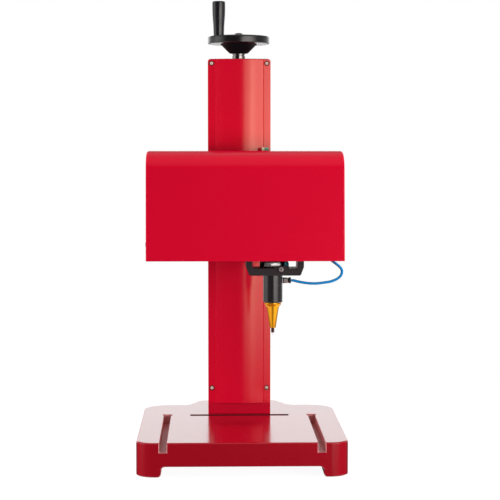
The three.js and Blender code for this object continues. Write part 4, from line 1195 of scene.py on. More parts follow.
holder = {
    "slopeHeight": 12.5,
    "slopeInset": 4.8,
    "slopeCorner": 8,
    "footCorner": 3,
    "beamHeight": 10.5,
    "windowInner": 21.25,
    "windowOuter": 33,
    "windowCorner": 1.2,
    "spine": 5.5,
    "earWidth": 20,
    "earDepth": 9,
    "earHeight": 3.4,
    "boreGap": 0.15,
    "shankRadius": 2.2,
    "edge": 0.6,
    "plugPlace": (67.2, -86),
    "plug": [(0, 0), (3.6, 0), (3.6, 7, 1), (2.4, 7.4), (2.4, 9, 0.4), (0, 9)],
}
clamp = {"shank": 2, "gap": 0.05, "crown": 1.3, "socket": 1.5, "socketFoot": 0.45}
cap = {
    "turn": 18,
    "flatsDrop": 1.8,
    "landInset": 3,
    "landFoot": 0.5,
    "chamfer": [(0.2, -2.6), (2.4, 1)],  # in from the corners, and up from the top
    "hole": 3.2,
    "holeDepth": 3,
}
joint = {"gap": 0.3, "core": 2, "tube": 2.05, "neck": 3.4, "neckLength": 5, "collarLength": 3.6, "seat": 1.5}
hanging = {"tube": 2.05, "neck": 3.0, "collar": 3.6, "bodyEnd": 7, "neckEnd": 5.2, "depth": 3}
inlet = {
    "sink": 0.45,  # how much its radius is below the solid's
    "inset": 1.2,
    "lip": 0.4,
    "bodyShare": 0.56,
    "neckShare": 0.62,
    "neck": 2.4,
    "collar": 2.9,
    "tube": 1.7,
    "depth": 2.5,
}
pinTip = 4.2


def stylusHolder():
    low, high, middle = nodeBox("stylus_holder")
    axis = nodeBox("stylus_barrel")[2]
    screw = nodeBox("clamp_screw")[2]
    slopeTop = low.z + holder["slopeHeight"]
    beamTop = low.z + holder["beamHeight"]
    right = [
        (high.x - holder["slopeInset"], low.z, holder["footCorner"]),
        (high.x, slopeTop, holder["slopeCorner"]),
        (high.x, high.z),
    ]
    body = prism("holder_body", filleted(bothHalves(right, middle.x)), (low.y, high.y), "Y")
    inner = holder["windowInner"]
    for side in (-1, 1):
        near, far = sorted((middle.x + side * inner, middle.x + side * holder["windowOuter"]))
        corner = holder["windowCorner"]
        foot = [(near, beamTop, corner), (far, beamTop, corner)]
        window = filleted([*foot, (far, high.z + 1), (near, high.z + 1)])
        cut(body, prism("window", window, (low.y - 1, high.y + 1), "Y"))
    roomX = (middle.x - inner - 1, middle.x + inner + 1)
    cut(body, block("room", roomX, (low.y - 1, high.y - holder["spine"]), (beamTop, high.z + 1)))
    earX = (screw.x - holder["earWidth"] / 2, screw.x + holder["earWidth"] / 2)
    earZ = (beamTop - 1, beamTop + holder["earHeight"])
    joined(body, block("ear", earX, (low.y, low.y + holder["earDepth"]), earZ))
    radius = nodeBox("stylus_barrel")[1].x - axis.x + holder["boreGap"]
    cut(
        body,
        rod("bore", radius, (low.z - 1, high.z), (axis.x, axis.y, 0)),
        rod("shank", holder["shankRadius"], (-1, 12), (screw.x, low.y, screw.z), (0, 1, 0), 32),
    )
    softEdges(body, holder["edge"], 2, 40, clamp=True)
    adopt(smooth(body), "carriage", "holderBlack", "stylus_holder")
    plug = lathed("holder_plug", holder["plug"], (*holder["plugPlace"], beamTop), steps=40)
    adopt(smooth(plug), "carriage", "tealPlastic")


def clampScrew():
    low, high, middle = nodeBox("clamp_screw")
    radius = (high.x - low.x) / 2
    seatY = nodeBox("stylus_holder")[0].y
    shank, gap = clamp["shank"], clamp["gap"]
    height = seatY - low.y - gap
    place = (middle.x, seatY, middle.z)
    body = lathed("clamp_screw_body", [
        (0, seatY - high.y),
        (shank, seatY - high.y, 0.3),
        (shank, gap),
        (radius, gap, 0.2),
        (radius, height, clamp["crown"]),
        (0, height),
    ], place, (0, -1, 0), 48, 5)
    socketFoot = height * clamp["socketFoot"]
    cut(body, rod("socket", clamp["socket"], (socketFoot, height + 1), place, (0, -1, 0), 6))
    adopt(smooth(body), "carriage", "fittingSteel", "clamp_screw")


def stylusCap():
    # a hexagon cap nut with a round land on top
    low, high, middle = nodeBox("stylus_cap")
    radius = (high.x - low.x) / 2
    height = high.z - low.z
    place = (middle.x, middle.y, low.z)
    land = radius - cap["landInset"]
    sides = [math.radians(60 * k + cap["turn"]) for k in range(6)]
    corners = [(middle.x + radius * math.cos(a), middle.y + radius * math.sin(a)) for a in sides]
    flats = prism("cap_body", corners, (low.z, high.z - cap["flatsDrop"]))
    foot = cap["landFoot"]
    joined(flats, lathed("land", [(0, foot), (land, foot), (land, height, 0.5), (0, height)], place))
    slope = [(radius - inset, height + rise) for inset, rise in cap["chamfer"]]
    chamfer = [(0, -1), (radius, -1), *slope, (0, height + 1)]
    combined(flats, "INTERSECT", turned("chamfer", chamfer, place))
    cut(flats, rod("hole", cap["hole"], (height - cap["holeDepth"], height + 2), place, steps=48))
    softEdges(flats, 0.25, 2, 30, clamp=True)
    # the cap's raised nickel colour paints in light that it lacks under the head
    adopt(smooth(flats), "carriage", "nickel", "stylus_cap")


def stylusFitting():
    # a black seat and release collar with a plated hexagon between them, along X
    low, high, middle = nodeBox("stylus_fitting")
    radius = (high.z - low.z) / 2
    wall = nodeBox("stylus_barrel")[1].x + joint["gap"]
    place = (wall, middle.y, middle.z)
    length = high.x - wall
    neck = length - joint["neckLength"]
    ledge = length - joint["collarLength"]
    core, bore, seatEnd = joint["core"], joint["tube"], joint["seat"]
    seat = filleted([
        (0, 0), (radius, 0, 0.3), (radius, seatEnd, 0.4), (core, seatEnd), (core, neck),
    ], False, 3)
    ring = filleted([
        (bore, neck), (joint["neck"], neck, 0.3), (joint["neck"], ledge),
        (radius, ledge, 0.4), (radius, length, 0.8), (bore, length, 0.4),
    ], False, 4)
    body = turned("stylus_fitting_body", [*seat, *ring], place, (1, 0, 0), 48)
    adopt(smooth(body), "carriage", "fittingBlack", "stylus_fitting")
    inner, outer = core + 0.02, radius - 0.2
    first, last = seatEnd + 0.05, neck - 0.05
    flats = [(inner, first), (outer, first), (outer, last), (inner, last)]
    hexagon = turned("stylus_fitting_hexagon", flats, place, (1, 0, 0), 6, closed=True)
    softEdges(hexagon, 0.3, 2, 30, clamp=True)
    adopt(smooth(hexagon), "carriage", "fittingSteel")


def gantryFitting():
    # a body that hangs under the beam and a release collar that looks down
    low, high, middle = nodeBox("gantry_fitting")
    radius = (high.x - low.x) / 2
    length = high.z - low.z
    neck, ring, bore = hanging["neck"], hanging["collar"], hanging["tube"]
    bodyEnd = length - hanging["bodyEnd"]
    neckEnd = length - hanging["neckEnd"]
    floor = length - hanging["depth"]
    body = lathed("gantry_fitting_body", [
        (0, 0), (radius, 0, 0.3), (radius, bodyEnd, 0.5),
        (neck, bodyEnd + 0.6), (neck, neckEnd), (ring, neckEnd + 0.4, 0.3),
        (ring, length, 0.7), (bore, length, 0.3), (bore, floor), (0, floor),
    ], (middle.x, middle.y, high.z), (0, 0, -1), 48, 4)
    adopt(smooth(body), "gantry", "fittingBlack", "gantry_fitting")


def airInletFitting():
    # a buff release collar on a green body, along X
    low, high, middle = nodeBox("air_inlet_fitting")
    radius = (high.z - low.z) / 2 - inlet["sink"]
    length = high.x - low.x - inlet["inset"]
    place = (high.x - inlet["inset"], middle.y, low.z + radius)
    bodyEnd = length * inlet["bodyShare"]
    neckEnd = length * inlet["neckShare"]
    lip = radius - inlet["lip"]
    neck, ring, bore = inlet["neck"], inlet["collar"], inlet["tube"]
    floor = length - inlet["depth"]
    green = lathed("air_inlet_body", [
        (0, 0), (lip, 0, 0.5), (lip, 1.4), (radius, 1.8, 0.3),
        (radius, bodyEnd, 0.5), (neck, bodyEnd), (neck, neckEnd), (0, neckEnd),
    ], place, (-1, 0, 0), 48, 3)
    adopt(smooth(green), "head", "greenPlastic", "air_inlet_fitting")
    buff = lathed("air_inlet_collar", [
        (0, neckEnd), (ring, neckEnd, 0.3), (ring, length, 0.6),
        (bore, length, 0.3), (bore, floor), (0, floor),
    ], place, (-1, 0, 0), 48, 3)
    adopt(smooth(buff), "head", "buffPlastic")


def markingPin():
    tipTop = nodeBox("marking_pin")[0].z + pinTip
    secondFinish(dressed("marking_pin", "pinDark", 0.3), "nickel", lambda p: p.z < tipTop)


stylusHolder()
clampScrew()
stylusCap()
stylusFitting()
gantryFitting()
airInletFitting()
markingPin()
print("stylus done")


# Coils: the thread of the lead screw and the return spring of the pin

threadShape = {
    "foot": 115.8,
    "top": 581,
    "radius": 8,
    "root": 6.85,
    "shoulder": 2,
    "pitch": 5,
    "ridge": 1.3,
    "tail": 5,
    "shank": 6,
}
springShape = {"wire": 0.4, "turns": 4.5}


def coilTree():
    floats = [(label, "Float") for label in ("Height", "Turns", "Radius", "Wire")]
    inputs = [*floats, ("Sides", "Int"), ("Steps", "Int"), ("Finish", "Material")]
    tree, given = newGroup("coil", inputs, [("Geometry", "Geometry")], "GeometryNodeTree")
    spiral = addNode(tree, "GeometryNodeCurveSpiral", {
        "Height": given["Height"],
        "Rotations": given["Turns"],
        "Start Radius": given["Radius"],
        "End Radius": given["Radius"],
        "Resolution": given["Steps"],
    })
    upright = addNode(tree, "GeometryNodeSetCurveNormal", {"Curve": spiral.outputs[0]}, mode="Z_UP")
    circle = {"Radius": given["Wire"], "Resolution": given["Sides"]}
    wire = addNode(tree, "GeometryNodeCurvePrimitiveCircle", circle)
    sweep = addNode(tree, "GeometryNodeCurveToMesh", {
        "Curve": upright.outputs[0],
        "Profile Curve": wire.outputs[0],
        "Fill Caps": True,
    })
    return endTree(tree, sweep.outputs[0], given["Finish"])


coilGroup = coilTree()


def coiled(name, place, finishName, height, turns, radius, wire, sides, steps):
    # a wire wound upwards about Z from the place
    target = newPiece(name)
    lengths = {"Height": height * mm, "Radius": radius * mm, "Wire": wire * mm}
    finish = finishes[finishName][0]
    withInputs(target, coilGroup, Turns=float(turns), Sides=sides, Steps=steps, Finish=finish, **lengths)
    bm = meshOf(target)
    bmesh.ops.translate(bm, vec=Vector(place) * mm, verts=bm.verts)
    bmesh.ops.recalc_face_normals(bm, faces=bm.faces)
    return putBack(bm, target)


def leadScrew():
    low, high, axis = nodeBox("lead_screw")
    foot, top, radius, root, shoulder, pitch, wire, tail, shank = threadShape.values()
    core = lathed("lead_screw_body", [
        (0, low.z), (tail, low.z, 0.6), (tail, foot), (radius, foot, 0.6), (radius, foot + shoulder, 0.3),
        (root, foot + shoulder + 1), (root, top - shoulder - 1), (radius, top - shoulder, 0.3),
        (radius, top, 0.6), (shank, top), (shank, high.z, 0.8), (0, high.z),
    ], (axis.x, axis.y, 0), fine=3)
    length = top - foot - 2 * shoulder
    place = (axis.x, axis.y, foot + shoulder)
    thread = coiled("thread", place, "screwSteel", length, length / pitch, radius - wire, wire, 4, 28)
    adopt(smooth(merged(core, thread), 50), "screw", "screwSteel", "lead_screw")


def returnSpring():
    low, high, middle = nodeBox("return_spring")
    wire = springShape["wire"]
    height = high.z - low.z
    radius = (high.x - low.x) / 2
    place = (middle.x, middle.y, low.z + wire)
    turns = springShape["turns"]
    coil = coiled("spring_coil", place, "stylusSteel", height - 2 * wire, turns, radius - wire, wire, 14, 40)
    adopt(smooth(coil, 60), "carriage", "stylusSteel", "return_spring")
    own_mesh(coil)


leadScrew()
returnSpring()
print("coils wound")


# Guides: rails with counterbored screws, and bearing blocks with end caps

guide = {
    "waist": 0.8,
    "side": [(0, -0.6), (1, 0.1), (1, 1.3), (0, 2.0)],  # share of the waist, and height
    "edge": 0.5,
    "pitch": 30,
    "boreRadius": 3.3,
    "boreDepth": 3.2,
    "screw": (2.7, 2.4, 1.3),  # head radius, height and socket
    "capLength": 5,
    "blockEdge": 0.6,
}


def railPiece(node, outward, along):
    # the bar is drawn across X, outward Y and along Z, then turned to its place
    low, high, middle = nodeBox(node)
    outward = Vector(outward)
    along = Vector(along)
    across = outward.cross(along)
    width, rise, length = [abs((high - low).dot(v)) for v in (across, outward, along)]
    half = width / 2
    top = rise / 2
    side = [(half - guide["waist"] * share, y) for share, y in guide["side"]]
    right = [(half, -top), *side, (half, top - guide["edge"]), (half - guide["edge"], top)]
    bar = prism(node + "_bar", right + mirrored(right), (-length / 2, length / 2))
    axes = Matrix((across, outward, along)).transposed().to_4x4()
    bar.data.transform(Matrix.Translation(middle * mm) @ axes)
    count = int(length / guide["pitch"])
    seat = middle + outward * (top - guide["boreDepth"])
    places = [seat + along * ((k - (count - 1) / 2) * guide["pitch"]) for k in range(count)]
    bore = rod("bore", guide["boreRadius"], (0, 9), steps=32)
    cut(bar, onPlaces("bores", places, bore, turnTo(outward), "groundSteel"))
    screw = capHead(*guide["screw"])
    scattered(node + "_screws", places, screw, turnTo(outward), "darkSteel", bodyOfNode(node))
    adopt(smooth(bar, 30), bodyOfNode(node), "groundSteel", node)


def bearingBlock(node, along):
    # the last few millimetres at both ends are plastic caps
    low, high, middle = nodeBox(node)
    along = Vector(along)
    seam = abs((high - low).dot(along)) / 2 - guide["capLength"]
    piece = softEdges(copyOf(node), guide["blockEdge"], 2, clamp=True)
    bm = meshOf(piece)
    for side in (-1, 1):
        spot = (middle + along * seam * side) * mm
        bmesh.ops.bisect_plane(bm, geom=[*bm.verts, *bm.edges, *bm.faces], plane_co=spot, plane_no=along)
    adopt(smooth(putBack(bm, piece)), bodyOfNode(node), "groundSteel", node)
    secondFinish(piece, "fittingBlack", lambda p: abs((p - middle).dot(along)) > seam)


for side, inward in (("left", 1), ("right", -1)):
    railPiece("lift_rail_" + side, (0, -1, 0), (0, 0, 1))
    railPiece("y_rail_" + side, (inward, 0, 0), (0, 1, 0))
    bearingBlock("lift_block_" + side, (0, 0, 1))
    bearingBlock("y_block_" + side, (0, 1, 0))
railPiece("x_rail", (0, -1, 0), (1, 0, 0))
bearingBlock("x_block", (1, 0, 0))
print("guides done")


# Drives: toothed belts, toothed pulleys and motors

drive = {
    "tooth": (1.1, 0.7, 0.5),  # width at its foot, at its top, height
    "toothPitch": 2,
    "beltThickness": 1.5,
    "loopSteps": 28,
    "flange": 1,
    "flangeRadius": 8,
    "grooveRadius": 5.9,
    "pulleyTeeth": 20,
    "pulleyWidth": 8.6,
    "shaft": 2.5,
    "shaftGap": 0.6,
    "shaftDepth": 10.6,
    "motorEnd": 8,
    "motorCut": 4,
    "statorInset": 0.6,
    "statorCut": 6,
    "screwCircle": 15.5,
    "screw": (2.6, 1.0, 1.2),  # head radius, height and socket
}


def toothTemplate(width):
    # one tooth, its foot at zero, its top up Z and its width along X
    foot, top, height = drive["tooth"]
    outline = [(-foot / 2, -0.1), (foot / 2, -0.1), (top / 2, height), (-top / 2, height)]
    return prism("tooth", outline, (-width / 2, width / 2), "X")


def beltLoop(half, radius):
    # a loop round two wheels that stand half to each side of the middle
    points = []
    for centre, first in ((half, -90), (-half, 90)):
        for k in range(drive["loopSteps"] + 1):
            angle = math.radians(first + 180 * k / drive["loopSteps"])
            points.append((centre + radius * math.cos(angle), radius * math.sin(angle)))
    return points


def loopSpots(half, radius, pitch):
    # places one pitch apart on the loop, each with its outward direction
    straight = 2 * half
    side = straight + math.pi * radius
    count = round(2 * side / pitch)
    spots = []
    for k in range(count):
        way = 2 * side * k / count
        sign = 1 if way < side else -1
        way -= 0 if sign > 0 else side
        if way < straight:
            spots.append(((sign * (way - half), -sign * radius), (0, -sign)))
            continue
        angle = math.radians(-90) + (way - straight) / radius
        normal = (sign * math.cos(angle), sign * math.sin(angle))
        spots.append(((sign * half + radius * normal[0], radius * normal[1]), normal))
    return spots


def toothedBelt(node, across, along):
    low, high, middle = nodeBox(node)
    across = Vector(across)
    along = Vector(along)
    up = across.cross(along)
    width, length, height = [abs((high - low).dot(v)) for v in (across, along, up)]
    outer = height / 2
    half = length / 2 - outer
    foot = outer - drive["beltThickness"] + drive["tooth"][2]
    bm = bmesh.new()
    rings = []
    for radius, side in ((foot, -1), (outer, -1), (outer, 1), (foot, 1)):
        edge = across * (side * width / 2)
        loop = [middle + along * x + up * y + edge for x, y in beltLoop(half, radius)]
        rings.append([bm.verts.new(spot) for spot in loop])
    for first, second in zip(rings, rings[1:] + rings[:1]):
        joinRings(bm, first, second, len(first))
    band = finished(node + "_band", bm)
    spots = loopSpots(half, foot, drive["toothPitch"])
    places = [middle + along * p[0] + up * p[1] for p, normal in spots]
    turns = [turnTo(-(along * n[0] + up * n[1]), across) for p, n in spots]
    teeth = onPlaces("teeth", places, toothTemplate(width), turns, "beltRubber")
    adopt(smooth(merged(band, teeth), 30), bodyOfNode(node), "beltRubber", node)


def toothedPulley(node, outward):
    # two flanges and a toothed seat on a shaft that reaches back into the motor
    low, high, middle = nodeBox(node)
    outward = Vector(outward)
    length = abs((high - low).dot(outward))
    width, flange, rim, foot = [drive[k] for k in ("pulleyWidth", "flange", "flangeRadius", "grooveRadius")]
    shaft = drive["shaft"]
    root = middle + outward * (length / 2 - width)
    body = lathed(node + "_wheel", [
        (0, width - length), (shaft, width - length, 0.4), (shaft, 0), (rim, 0, 0.2), (rim, flange, 0.3),
        (foot, flange + 0.3), (foot, width - flange - 0.3), (rim, width - flange, 0.3), (rim, width, 0.2),
        (0, width),
    ], root, outward, fine=2)
    side = Vector((0, 0, 1)) if abs(outward.z) < 0.5 else Vector((1, 0, 0))
    count = drive["pulleyTeeth"]
    normals = [Matrix.Rotation(2 * math.pi * k / count, 3, outward) @ side for k in range(count)]
    places = [root + outward * (width / 2) + n * foot for n in normals]
    tooth = toothTemplate(width - 2 * flange - 0.2)
    teeth = onPlaces("teeth", places, tooth, [turnTo(n, outward) for n in normals], "aluminium")
    adopt(smooth(merged(body, teeth), 30), bodyOfNode(node), "aluminium", node)


def motorSlice(name, half, corner, span):
    right = [(half, -half, corner), (half, half, corner)]
    return prism(name, filleted(bothHalves(right), steps=1), span)


def motorPiece(node, rearward):
    # drawn about Z with its face at zero: a face plate, a laminated stator and an end plate
    low, high, middle = nodeBox(node)
    rearward = Vector(rearward)
    length = abs((high - low).dot(rearward))
    half = max(high - low) / 2
    end = drive["motorEnd"]
    top = length - drive["screw"][1]
    face = motorSlice("motor_body_" + node, half, drive["motorCut"], (0, end))
    stator = motorSlice("stator", half - drive["statorInset"], drive["statorCut"], (end - 1, top - end + 1))
    joined(face, stator, motorSlice("rear", half, drive["motorCut"], (top - end, top)))
    cut(face, rod("shaft", drive["shaft"] + drive["shaftGap"], (-1, drive["shaftDepth"]), steps=32))
    softEdges(face, 0.4, 2, 30, clamp=True)
    origin = middle - rearward * (length / 2)
    turn = turnTo(rearward)
    face.data.transform(Matrix.Translation(origin * mm) @ turn.to_matrix().to_4x4())
    adopt(smooth(face, 30), bodyOfNode(node), "motorBlack", node)
    secondFinish(face, "castGrey", lambda p: not end < (p - origin).dot(rearward) < top - end)
    reach = drive["screwCircle"]
    corners = [Vector((x * reach, y * reach, top)) for x in (-1, 1) for y in (-1, 1)]
    places = [origin + turn.to_matrix() @ corner for corner in corners]
    scattered(node + "_screws", places, domedHead(*drive["screw"]), turn, "darkSteel", bodyOfNode(node))


toothedBelt("x_belt", (0, 0, 1), (1, 0, 0))
toothedBelt("y_belt", (1, 0, 0), (0, 1, 0))
toothedPulley("x_pulley", (0, 0, -1))
toothedPulley("y_pulley", (-1, 0, 0))
motorPiece("x_motor", (0, 0, 1))
motorPiece("y_motor", (1, 0, 0))
print("drives done")


# Screws of the plates, the head cover and the socket on its back

plateScrews = {
    "head_frame_screws": {
        "body": "head",
        "facing": (0, 1, 0),
        "head": (3.4, 2.6, 1.6),  # radius, height and socket
        "places": [(x, 46, z) for x in (-126, 135) for z in (330, 387, 444)]
        + [(x, 46, z) for x in (-28, 28) for z in (330, 444)],
    },
    "lift_plate_screws": {
        "body": "head",
        "facing": (0, 1, 0),
        "head": (4.3, 4.0, 2.1),
        "places": [(x, 69, z) for x in (-62, 62) for z in (345, 385, 425)],
    },
    "column_rear_screws": {
        "body": "stand",
        "facing": (0, 1, 0),
        "head": (3.4, 2.4, 1.6),
        "places": [(x, 162, z) for x in (-38, 38) for z in (125, 235, 345, 455, 565)],
    },
    "column_foot_screws": {
        "body": "stand",
        "facing": (0, 0, -1),
        "head": (6.5, 6.0, 3.0),
        "places": [(x, y, 29) for x in (-34, 34) for y in (76, 118)],
    },
}
headScrew = {
    "head": (4.2, 2.2, 1.9),
    "shank": -6.2,
    "sides": {"left": ((-1, 0, 0), (1, 2)), "right": ((1, 0, 0), (3, 4))},  # outward, and the numbers there
}
socketShape = {
    "rimRadius": 11,
    "rimEdge": 0.4,
    "shellRadius": 9.4,
    "boreRadius": 7.6,
    "flange": 2.5,
    "recess": 4,
    "ribs": 5,
    "ribStart": 1.5,
    "ribPitch": 1.4,
    "rib": 0.35,
    "ribHeight": 0.5,
    "insert": 1.2,
    "pin": [(0, 0), (0.7, 0), (0.7, 1.7), (0.3, 2.2), (0, 2.2)],
    "pins": 6,
    "pinCircle": 4.4,
}


def setPlateScrews():
    for name, values in plateScrews.items():
        screw = capHead(*values["head"])
        scattered(name, values["places"], screw, turnTo(values["facing"]), "darkSteel", values["body"])


def headCoverScrews():
    low, high = nodeBox("head_cover")[:2]
    for side, (outward, numbers) in headScrew["sides"].items():
        x = low.x if side == "left" else high.x
        nodes = ["head_cover_screw_" + str(i) for i in numbers]
        places = [(x, nodeBox(node)[2].y, nodeBox(node)[2].z) for node in nodes]
        screw = domedHead(*headScrew["head"], headScrew["shank"])
        scattered("head_screws_" + side, places, screw, turnTo(outward), "darkSteel", "head", *nodes)


def signalSocket():
    low, high, middle = nodeBox("signal_socket")
    length = high.y - low.y
    place = (middle.x, low.y, middle.z)
    rearward = (0, 1, 0)
    rim, edge, flange = [socketShape[k] for k in ("rimRadius", "rimEdge", "flange")]
    shell, bore, rib = [socketShape[k] for k in ("shellRadius", "boreRadius", "rib")]
    inner = shell - socketShape["ribHeight"]
    floor = length - socketShape["recess"]
    ribs = []
    for k in range(socketShape["ribs"]):
        along = flange + socketShape["ribStart"] + socketShape["ribPitch"] * k
        ribs += [(inner, along), (shell, along + rib), (shell, along + 2 * rib), (inner, along + 3 * rib)]
    ring = turned("signal_socket_shell", [
        (0, 0), (rim - edge, 0), (rim, edge), (rim, flange - edge), (rim - edge, flange), (inner, flange),
        *ribs, (inner, length), (bore, length), (bore, floor), (0, floor),
    ], place, rearward, 64)
    adopt(smooth(ring, 30), "head", "satinSteel", "signal_socket")
    top = floor + socketShape["insert"]
    insert = lathed("signal_socket_insert", [
        (0, floor - 0.3), (bore - 0.4, floor - 0.3), (bore - 0.4, top, 0.4), (0, top),
    ], place, rearward, 48, 3)
    adopt(smooth(insert), "head", "fittingBlack")
    count = socketShape["pins"]
    circle = socketShape["pinCircle"]
    angles = [2 * math.pi * k / count for k in range(count)]
    spots = [(0, 0), *[(circle * math.cos(a), circle * math.sin(a)) for a in angles]]
    places = [(middle.x + x, low.y + top - 0.1, middle.z + z) for x, z in spots]
    pin = smooth(turned("pin", socketShape["pin"], steps=20))
    scattered("signal_socket_pins", places, pin, turnTo(rearward), "brass", "head")


setPlateScrews()
headCoverScrews()
signalSocket()
print("screws and socket done")


# Everything that keeps its solid's shape: its finish, the width of its broken edges and its solids

plainPieces = [
    ("screwSteel", 0.4, ["bottom_bearing", "handle_spindle"]),
    ("aluminium", 0.5, ["nut_bracket", "head_frame", "front_cross_plate", "gantry_beam", "carriage_plate"]),
    ("aluminium", 0.2, ["y_idler", "x_idler"]),
    ("holderBlack", 0.5, ["lift_plate", "head_bracket_left", "head_bracket_right"]),
    ("brass", 0.4, ["lead_nut"]),
    ("barrelBlack", 0.4, ["stylus_barrel"]),
    ("gold", 0.4, ["stylus_nozzle"]),
]

for finishName, edge, nodes in plainPieces:
    for node in nodes:
        dressed(node, finishName, edge)
print("inner pieces done")


# Studio: floor, world and lamps

studio = {
    # degrees between which each part of the reflected room comes in, across from the camera's side
    "leftWhite": (-46, -82),
    "leftNear": (-108, -92),
    "rightWhite": (48, 80),
    "rightNear": (92, 125),
    "backWhite": (120, 150),
    "tableLeft": (-14, -40),
    "tableRight": (8, 36),
    "boxLeft": (5.5, 9),
    "boxWide": (12.2, 18),
    "boxDim": (25, 17),
    "boxRight": (75, 38),
    # and upwards
    "wallFoot": (-9.5, -5.5),
    "wallTop": (30, 13),
    "table": (-16, -26),
    "ceiling": (20, 50),
    "boxFoot": (-8.4, -4.9),
    "boxMiddle": (-4.5, 2.0),
    "boxTop": (9.6, 6.6),
    "shoulder": (4.7, 5.3),  # above this the box is narrower at its left
    "shoulderTurn": 12,
    # how bright each part is
    "tableLevel": (0.15, 1.0, 1.3),  # in front of the object, to its left and to its right
    "ceilingLevel": 0.45,
    "leftLevel": (0.43, 0.6),  # far along the wall, and what its near end adds
    "rightLevel": (0.2, 0.2),
    "whiteLevel": 1.14,
    "darkLevel": 0.02,
    "boxColour": (1.05, 1.0, 0.97),
    "boxShare": (0.45, 0.55),  # of the box's left edge and of the rest
    "boxDimShare": (0.36, 0.64),
    "boxLow": 3.4,
    "boxHigh": 1.3,
    "fill": 0.3,
    "floorSize": 6000,
    "floorDrop": -0.2,
    "floorGlow": 0.94,
    "floorColour": 0.12,
    "floorNear": 0.45,
    "floorFar": 1.1,
}


def rampNode(tree, value, low, high):
    # a soft step from 0 to 1, or from 1 to 0 where low is the greater
    ends = {"To Min": 1.0, "To Max": 0.0} if low > high else {}
    inputs = {"Value": value, "From Min": min(low, high), "From Max": max(low, high), **ends}
    return addNode(tree, "ShaderNodeMapRange", inputs, interpolation_type="SMOOTHSTEP").outputs["Result"]


def reflectedStudio(tree):
    # white walls at the back and the sides, a tall softbox to the right of the camera, dark in front
    around = tree.nodes.new("ShaderNodeTexCoord").outputs["Generated"]
    split = addNode(tree, "ShaderNodeSeparateXYZ", {0: around}).outputs
    toFront = mathNode(tree, "MULTIPLY", split["Y"], -1.0)
    azimuth = mathNode(tree, "ARCTAN2", split["X"], toFront)
    elevation = mathNode(tree, "ARCSINE", split["Z"])

    def step(value, span, height=1.0, rest=0.0):
        # a soft step over the named span, from rest to rest and height together
        low, high = [math.radians(angle) for angle in studio[span]]
        ramp = rampNode(tree, value, low, high)
        return mathNode(tree, "ADD", mathNode(tree, "MULTIPLY", ramp, height), rest)

    def combine(operation, *values):
        return mathNode(tree, operation, *values)

    far, near = studio["leftLevel"]
    leftWall = combine("MULTIPLY", step(azimuth, "leftWhite"), step(azimuth, "leftNear", near, far))
    far, near = studio["rightLevel"]
    rightWall = combine("ADD", step(azimuth, "rightWhite", far), step(azimuth, "rightNear", near))
    backWall = step(combine("ABSOLUTE", azimuth), "backWhite", studio["whiteLevel"])
    walls = combine("MAXIMUM", leftWall, rightWall, backWall)
    walls = combine("MULTIPLY", walls, step(elevation, "wallFoot"), step(elevation, "wallTop"))
    front, left, right = studio["tableLevel"]
    toLeft = step(azimuth, "tableLeft", left - front, front)
    toRight = step(azimuth, "tableRight", right - front)
    table = combine("MULTIPLY", combine("ADD", toLeft, toRight), step(elevation, "table"))
    ceiling = step(elevation, "ceiling", studio["ceilingLevel"])
    room = combine("MAXIMUM", combine("ADD", walls, table, ceiling), studio["darkLevel"])
    narrowing = step(elevation, "shoulder", math.radians(studio["shoulderTurn"]))
    inset = combine("SUBTRACT", azimuth, narrowing)
    edgeShare, restShare = studio["boxShare"]
    across = combine("ADD", step(inset, "boxLeft", edgeShare), step(inset, "boxWide", restShare))
    dimmed = step(azimuth, "boxDim", *studio["boxDimShare"])
    across = combine("MULTIPLY", across, step(azimuth, "boxRight"), dimmed)
    lower = step(elevation, "boxFoot", studio["boxLow"])
    upward = combine("ADD", lower, step(elevation, "boxMiddle", studio["boxHigh"]))
    box = combine("MULTIPLY", across, upward, step(elevation, "boxTop"))
    lights = {0: backgroundNode(tree, room), 1: backgroundNode(tree, box, studio["boxColour"])}
    return addNode(tree, "ShaderNodeAddShader", lights).outputs[0]


def backgroundNode(tree, strength, colour=(1, 1, 1)):
    return addNode(tree, "ShaderNodeBackground", {"Color": (*colour, 1), "Strength": strength}).outputs[0]


def studioWorld():
    world = bpy.data.worlds.new("studio")
    bpy.context.scene.world = world
    world.use_nodes = True
    world.cycles.sampling_method = "NONE"  # so that each kind of ray sees its own background
    tree = world.node_tree
    tree.nodes.clear()
    path = tree.nodes.new("ShaderNodeLightPath").outputs
    plain = backgroundNode(tree, studio["fill"])
    room = reflectedStudio(tree)
    lit = addNode(tree, "ShaderNodeMixShader", {0: path["Is Glossy Ray"], 1: plain, 2: room})
    direct = mathNode(tree, "MAXIMUM", path["Is Camera Ray"], path["Is Transmission Ray"])
    white = backgroundNode(tree, 1.0)
    both = addNode(tree, "ShaderNodeMixShader", {0: direct, 1: lit.outputs[0], 2: white})
    addNode(tree, "ShaderNodeOutputWorld", {"Surface": both.outputs[0]})


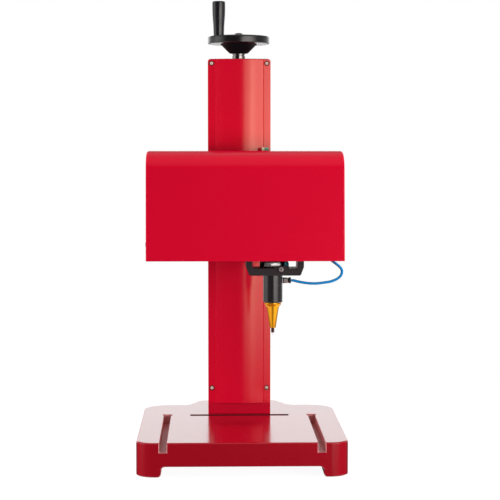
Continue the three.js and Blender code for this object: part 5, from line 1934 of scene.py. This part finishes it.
def studioFloor():
    # pale paper that fades into the white background around the object
    bm = bmesh.new()
    bmesh.ops.create_grid(bm, x_segments=1, y_segments=1, size=studio["floorSize"])
    bmesh.ops.translate(bm, vec=(0, 0, studio["floorDrop"]), verts=bm.verts)
    floor = finished("floor", bm)
    material = bpy.data.materials.new("floorPaper")
    material.use_nodes = True
    tree = material.node_tree
    shader = tree.nodes["Principled BSDF"].inputs
    place = tree.nodes.new("ShaderNodeTexCoord").outputs["Object"]
    reach = addNode(tree, "ShaderNodeVectorMath", {0: place}, operation="LENGTH").outputs["Value"]
    far = rampNode(tree, reach, studio["floorNear"], studio["floorFar"])
    grain = mathNode(tree, "MULTIPLY", noiseNode(tree, place, 300.0, 3.0), 0.01)
    shade = mathNode(tree, "ADD", grain, studio["floorColour"])
    value = mathNode(tree, "MULTIPLY", shade, mathNode(tree, "SUBTRACT", 1.0, far))
    tone = addNode(tree, "ShaderNodeCombineColor", {channel: value for channel in range(3)})
    tree.links.new(tone.outputs[0], shader["Base Color"])
    path = tree.nodes.new("ShaderNodeLightPath").outputs
    least = studio["floorGlow"]
    glow = mathNode(tree, "ADD", mathNode(tree, "MULTIPLY", far, 1.0 - least), least)
    tree.links.new(mathNode(tree, "MULTIPLY", path["Is Camera Ray"], glow), shader["Emission Strength"])
    shader["Emission Color"].default_value = (1, 1, 1, 1)
    shader["Roughness"].default_value = 1.0
    shader["Specular IOR Level"].default_value = 0.0
    floor.data.materials.append(material)
    floor.visible_glossy = False


lamps = {
    "frontRight": {"place": (1.75, -1.45, 0.36), "aim": (0, 0, 0.3), "size": (1.2, 0.6), "power": 60},
    "frontLeft": {"place": (-1.6, -1.75, 0.36), "aim": (0, 0, 0.3), "size": (1.2, 0.6), "power": 7},
    "sideLeft": {"place": (-2.4, -0.5, 0.3), "aim": (0, 0, 0.3), "size": (1.0, 0.5), "power": 60},
    "topLeft": {"place": (-1.6, 0, 2.0), "aim": (0, 0, 0.1), "size": (1.2, 1.2), "power": 27},
    "topRight": {"place": (1.6, 0, 2.0), "aim": (0, 0, 0.1), "size": (1.2, 1.2), "power": 27},
    "behind": {"place": (0.6, 2.4, 1.0), "aim": (0, 0, 0.35), "size": (1.6, 1.2), "power": 30},
}


def studioLamp(name, place, aim, size, power):
    light = bpy.data.lights.new(name, "AREA")
    light.shape = "RECTANGLE"
    light.size, light.size_y = size
    light.energy = power
    lamp = linked(name, light)
    lamp.location = place
    lamp.rotation_euler = (Vector(aim) - Vector(place)).to_track_quat("-Z", "Y").to_euler()
    lamp.visible_glossy = False


studioWorld()
studioFloor()
for lampName, lampValues in lamps.items():
    studioLamp(lampName, **lampValues)
bpy.context.scene.view_settings.view_transform = "Standard"
print("studio lit")
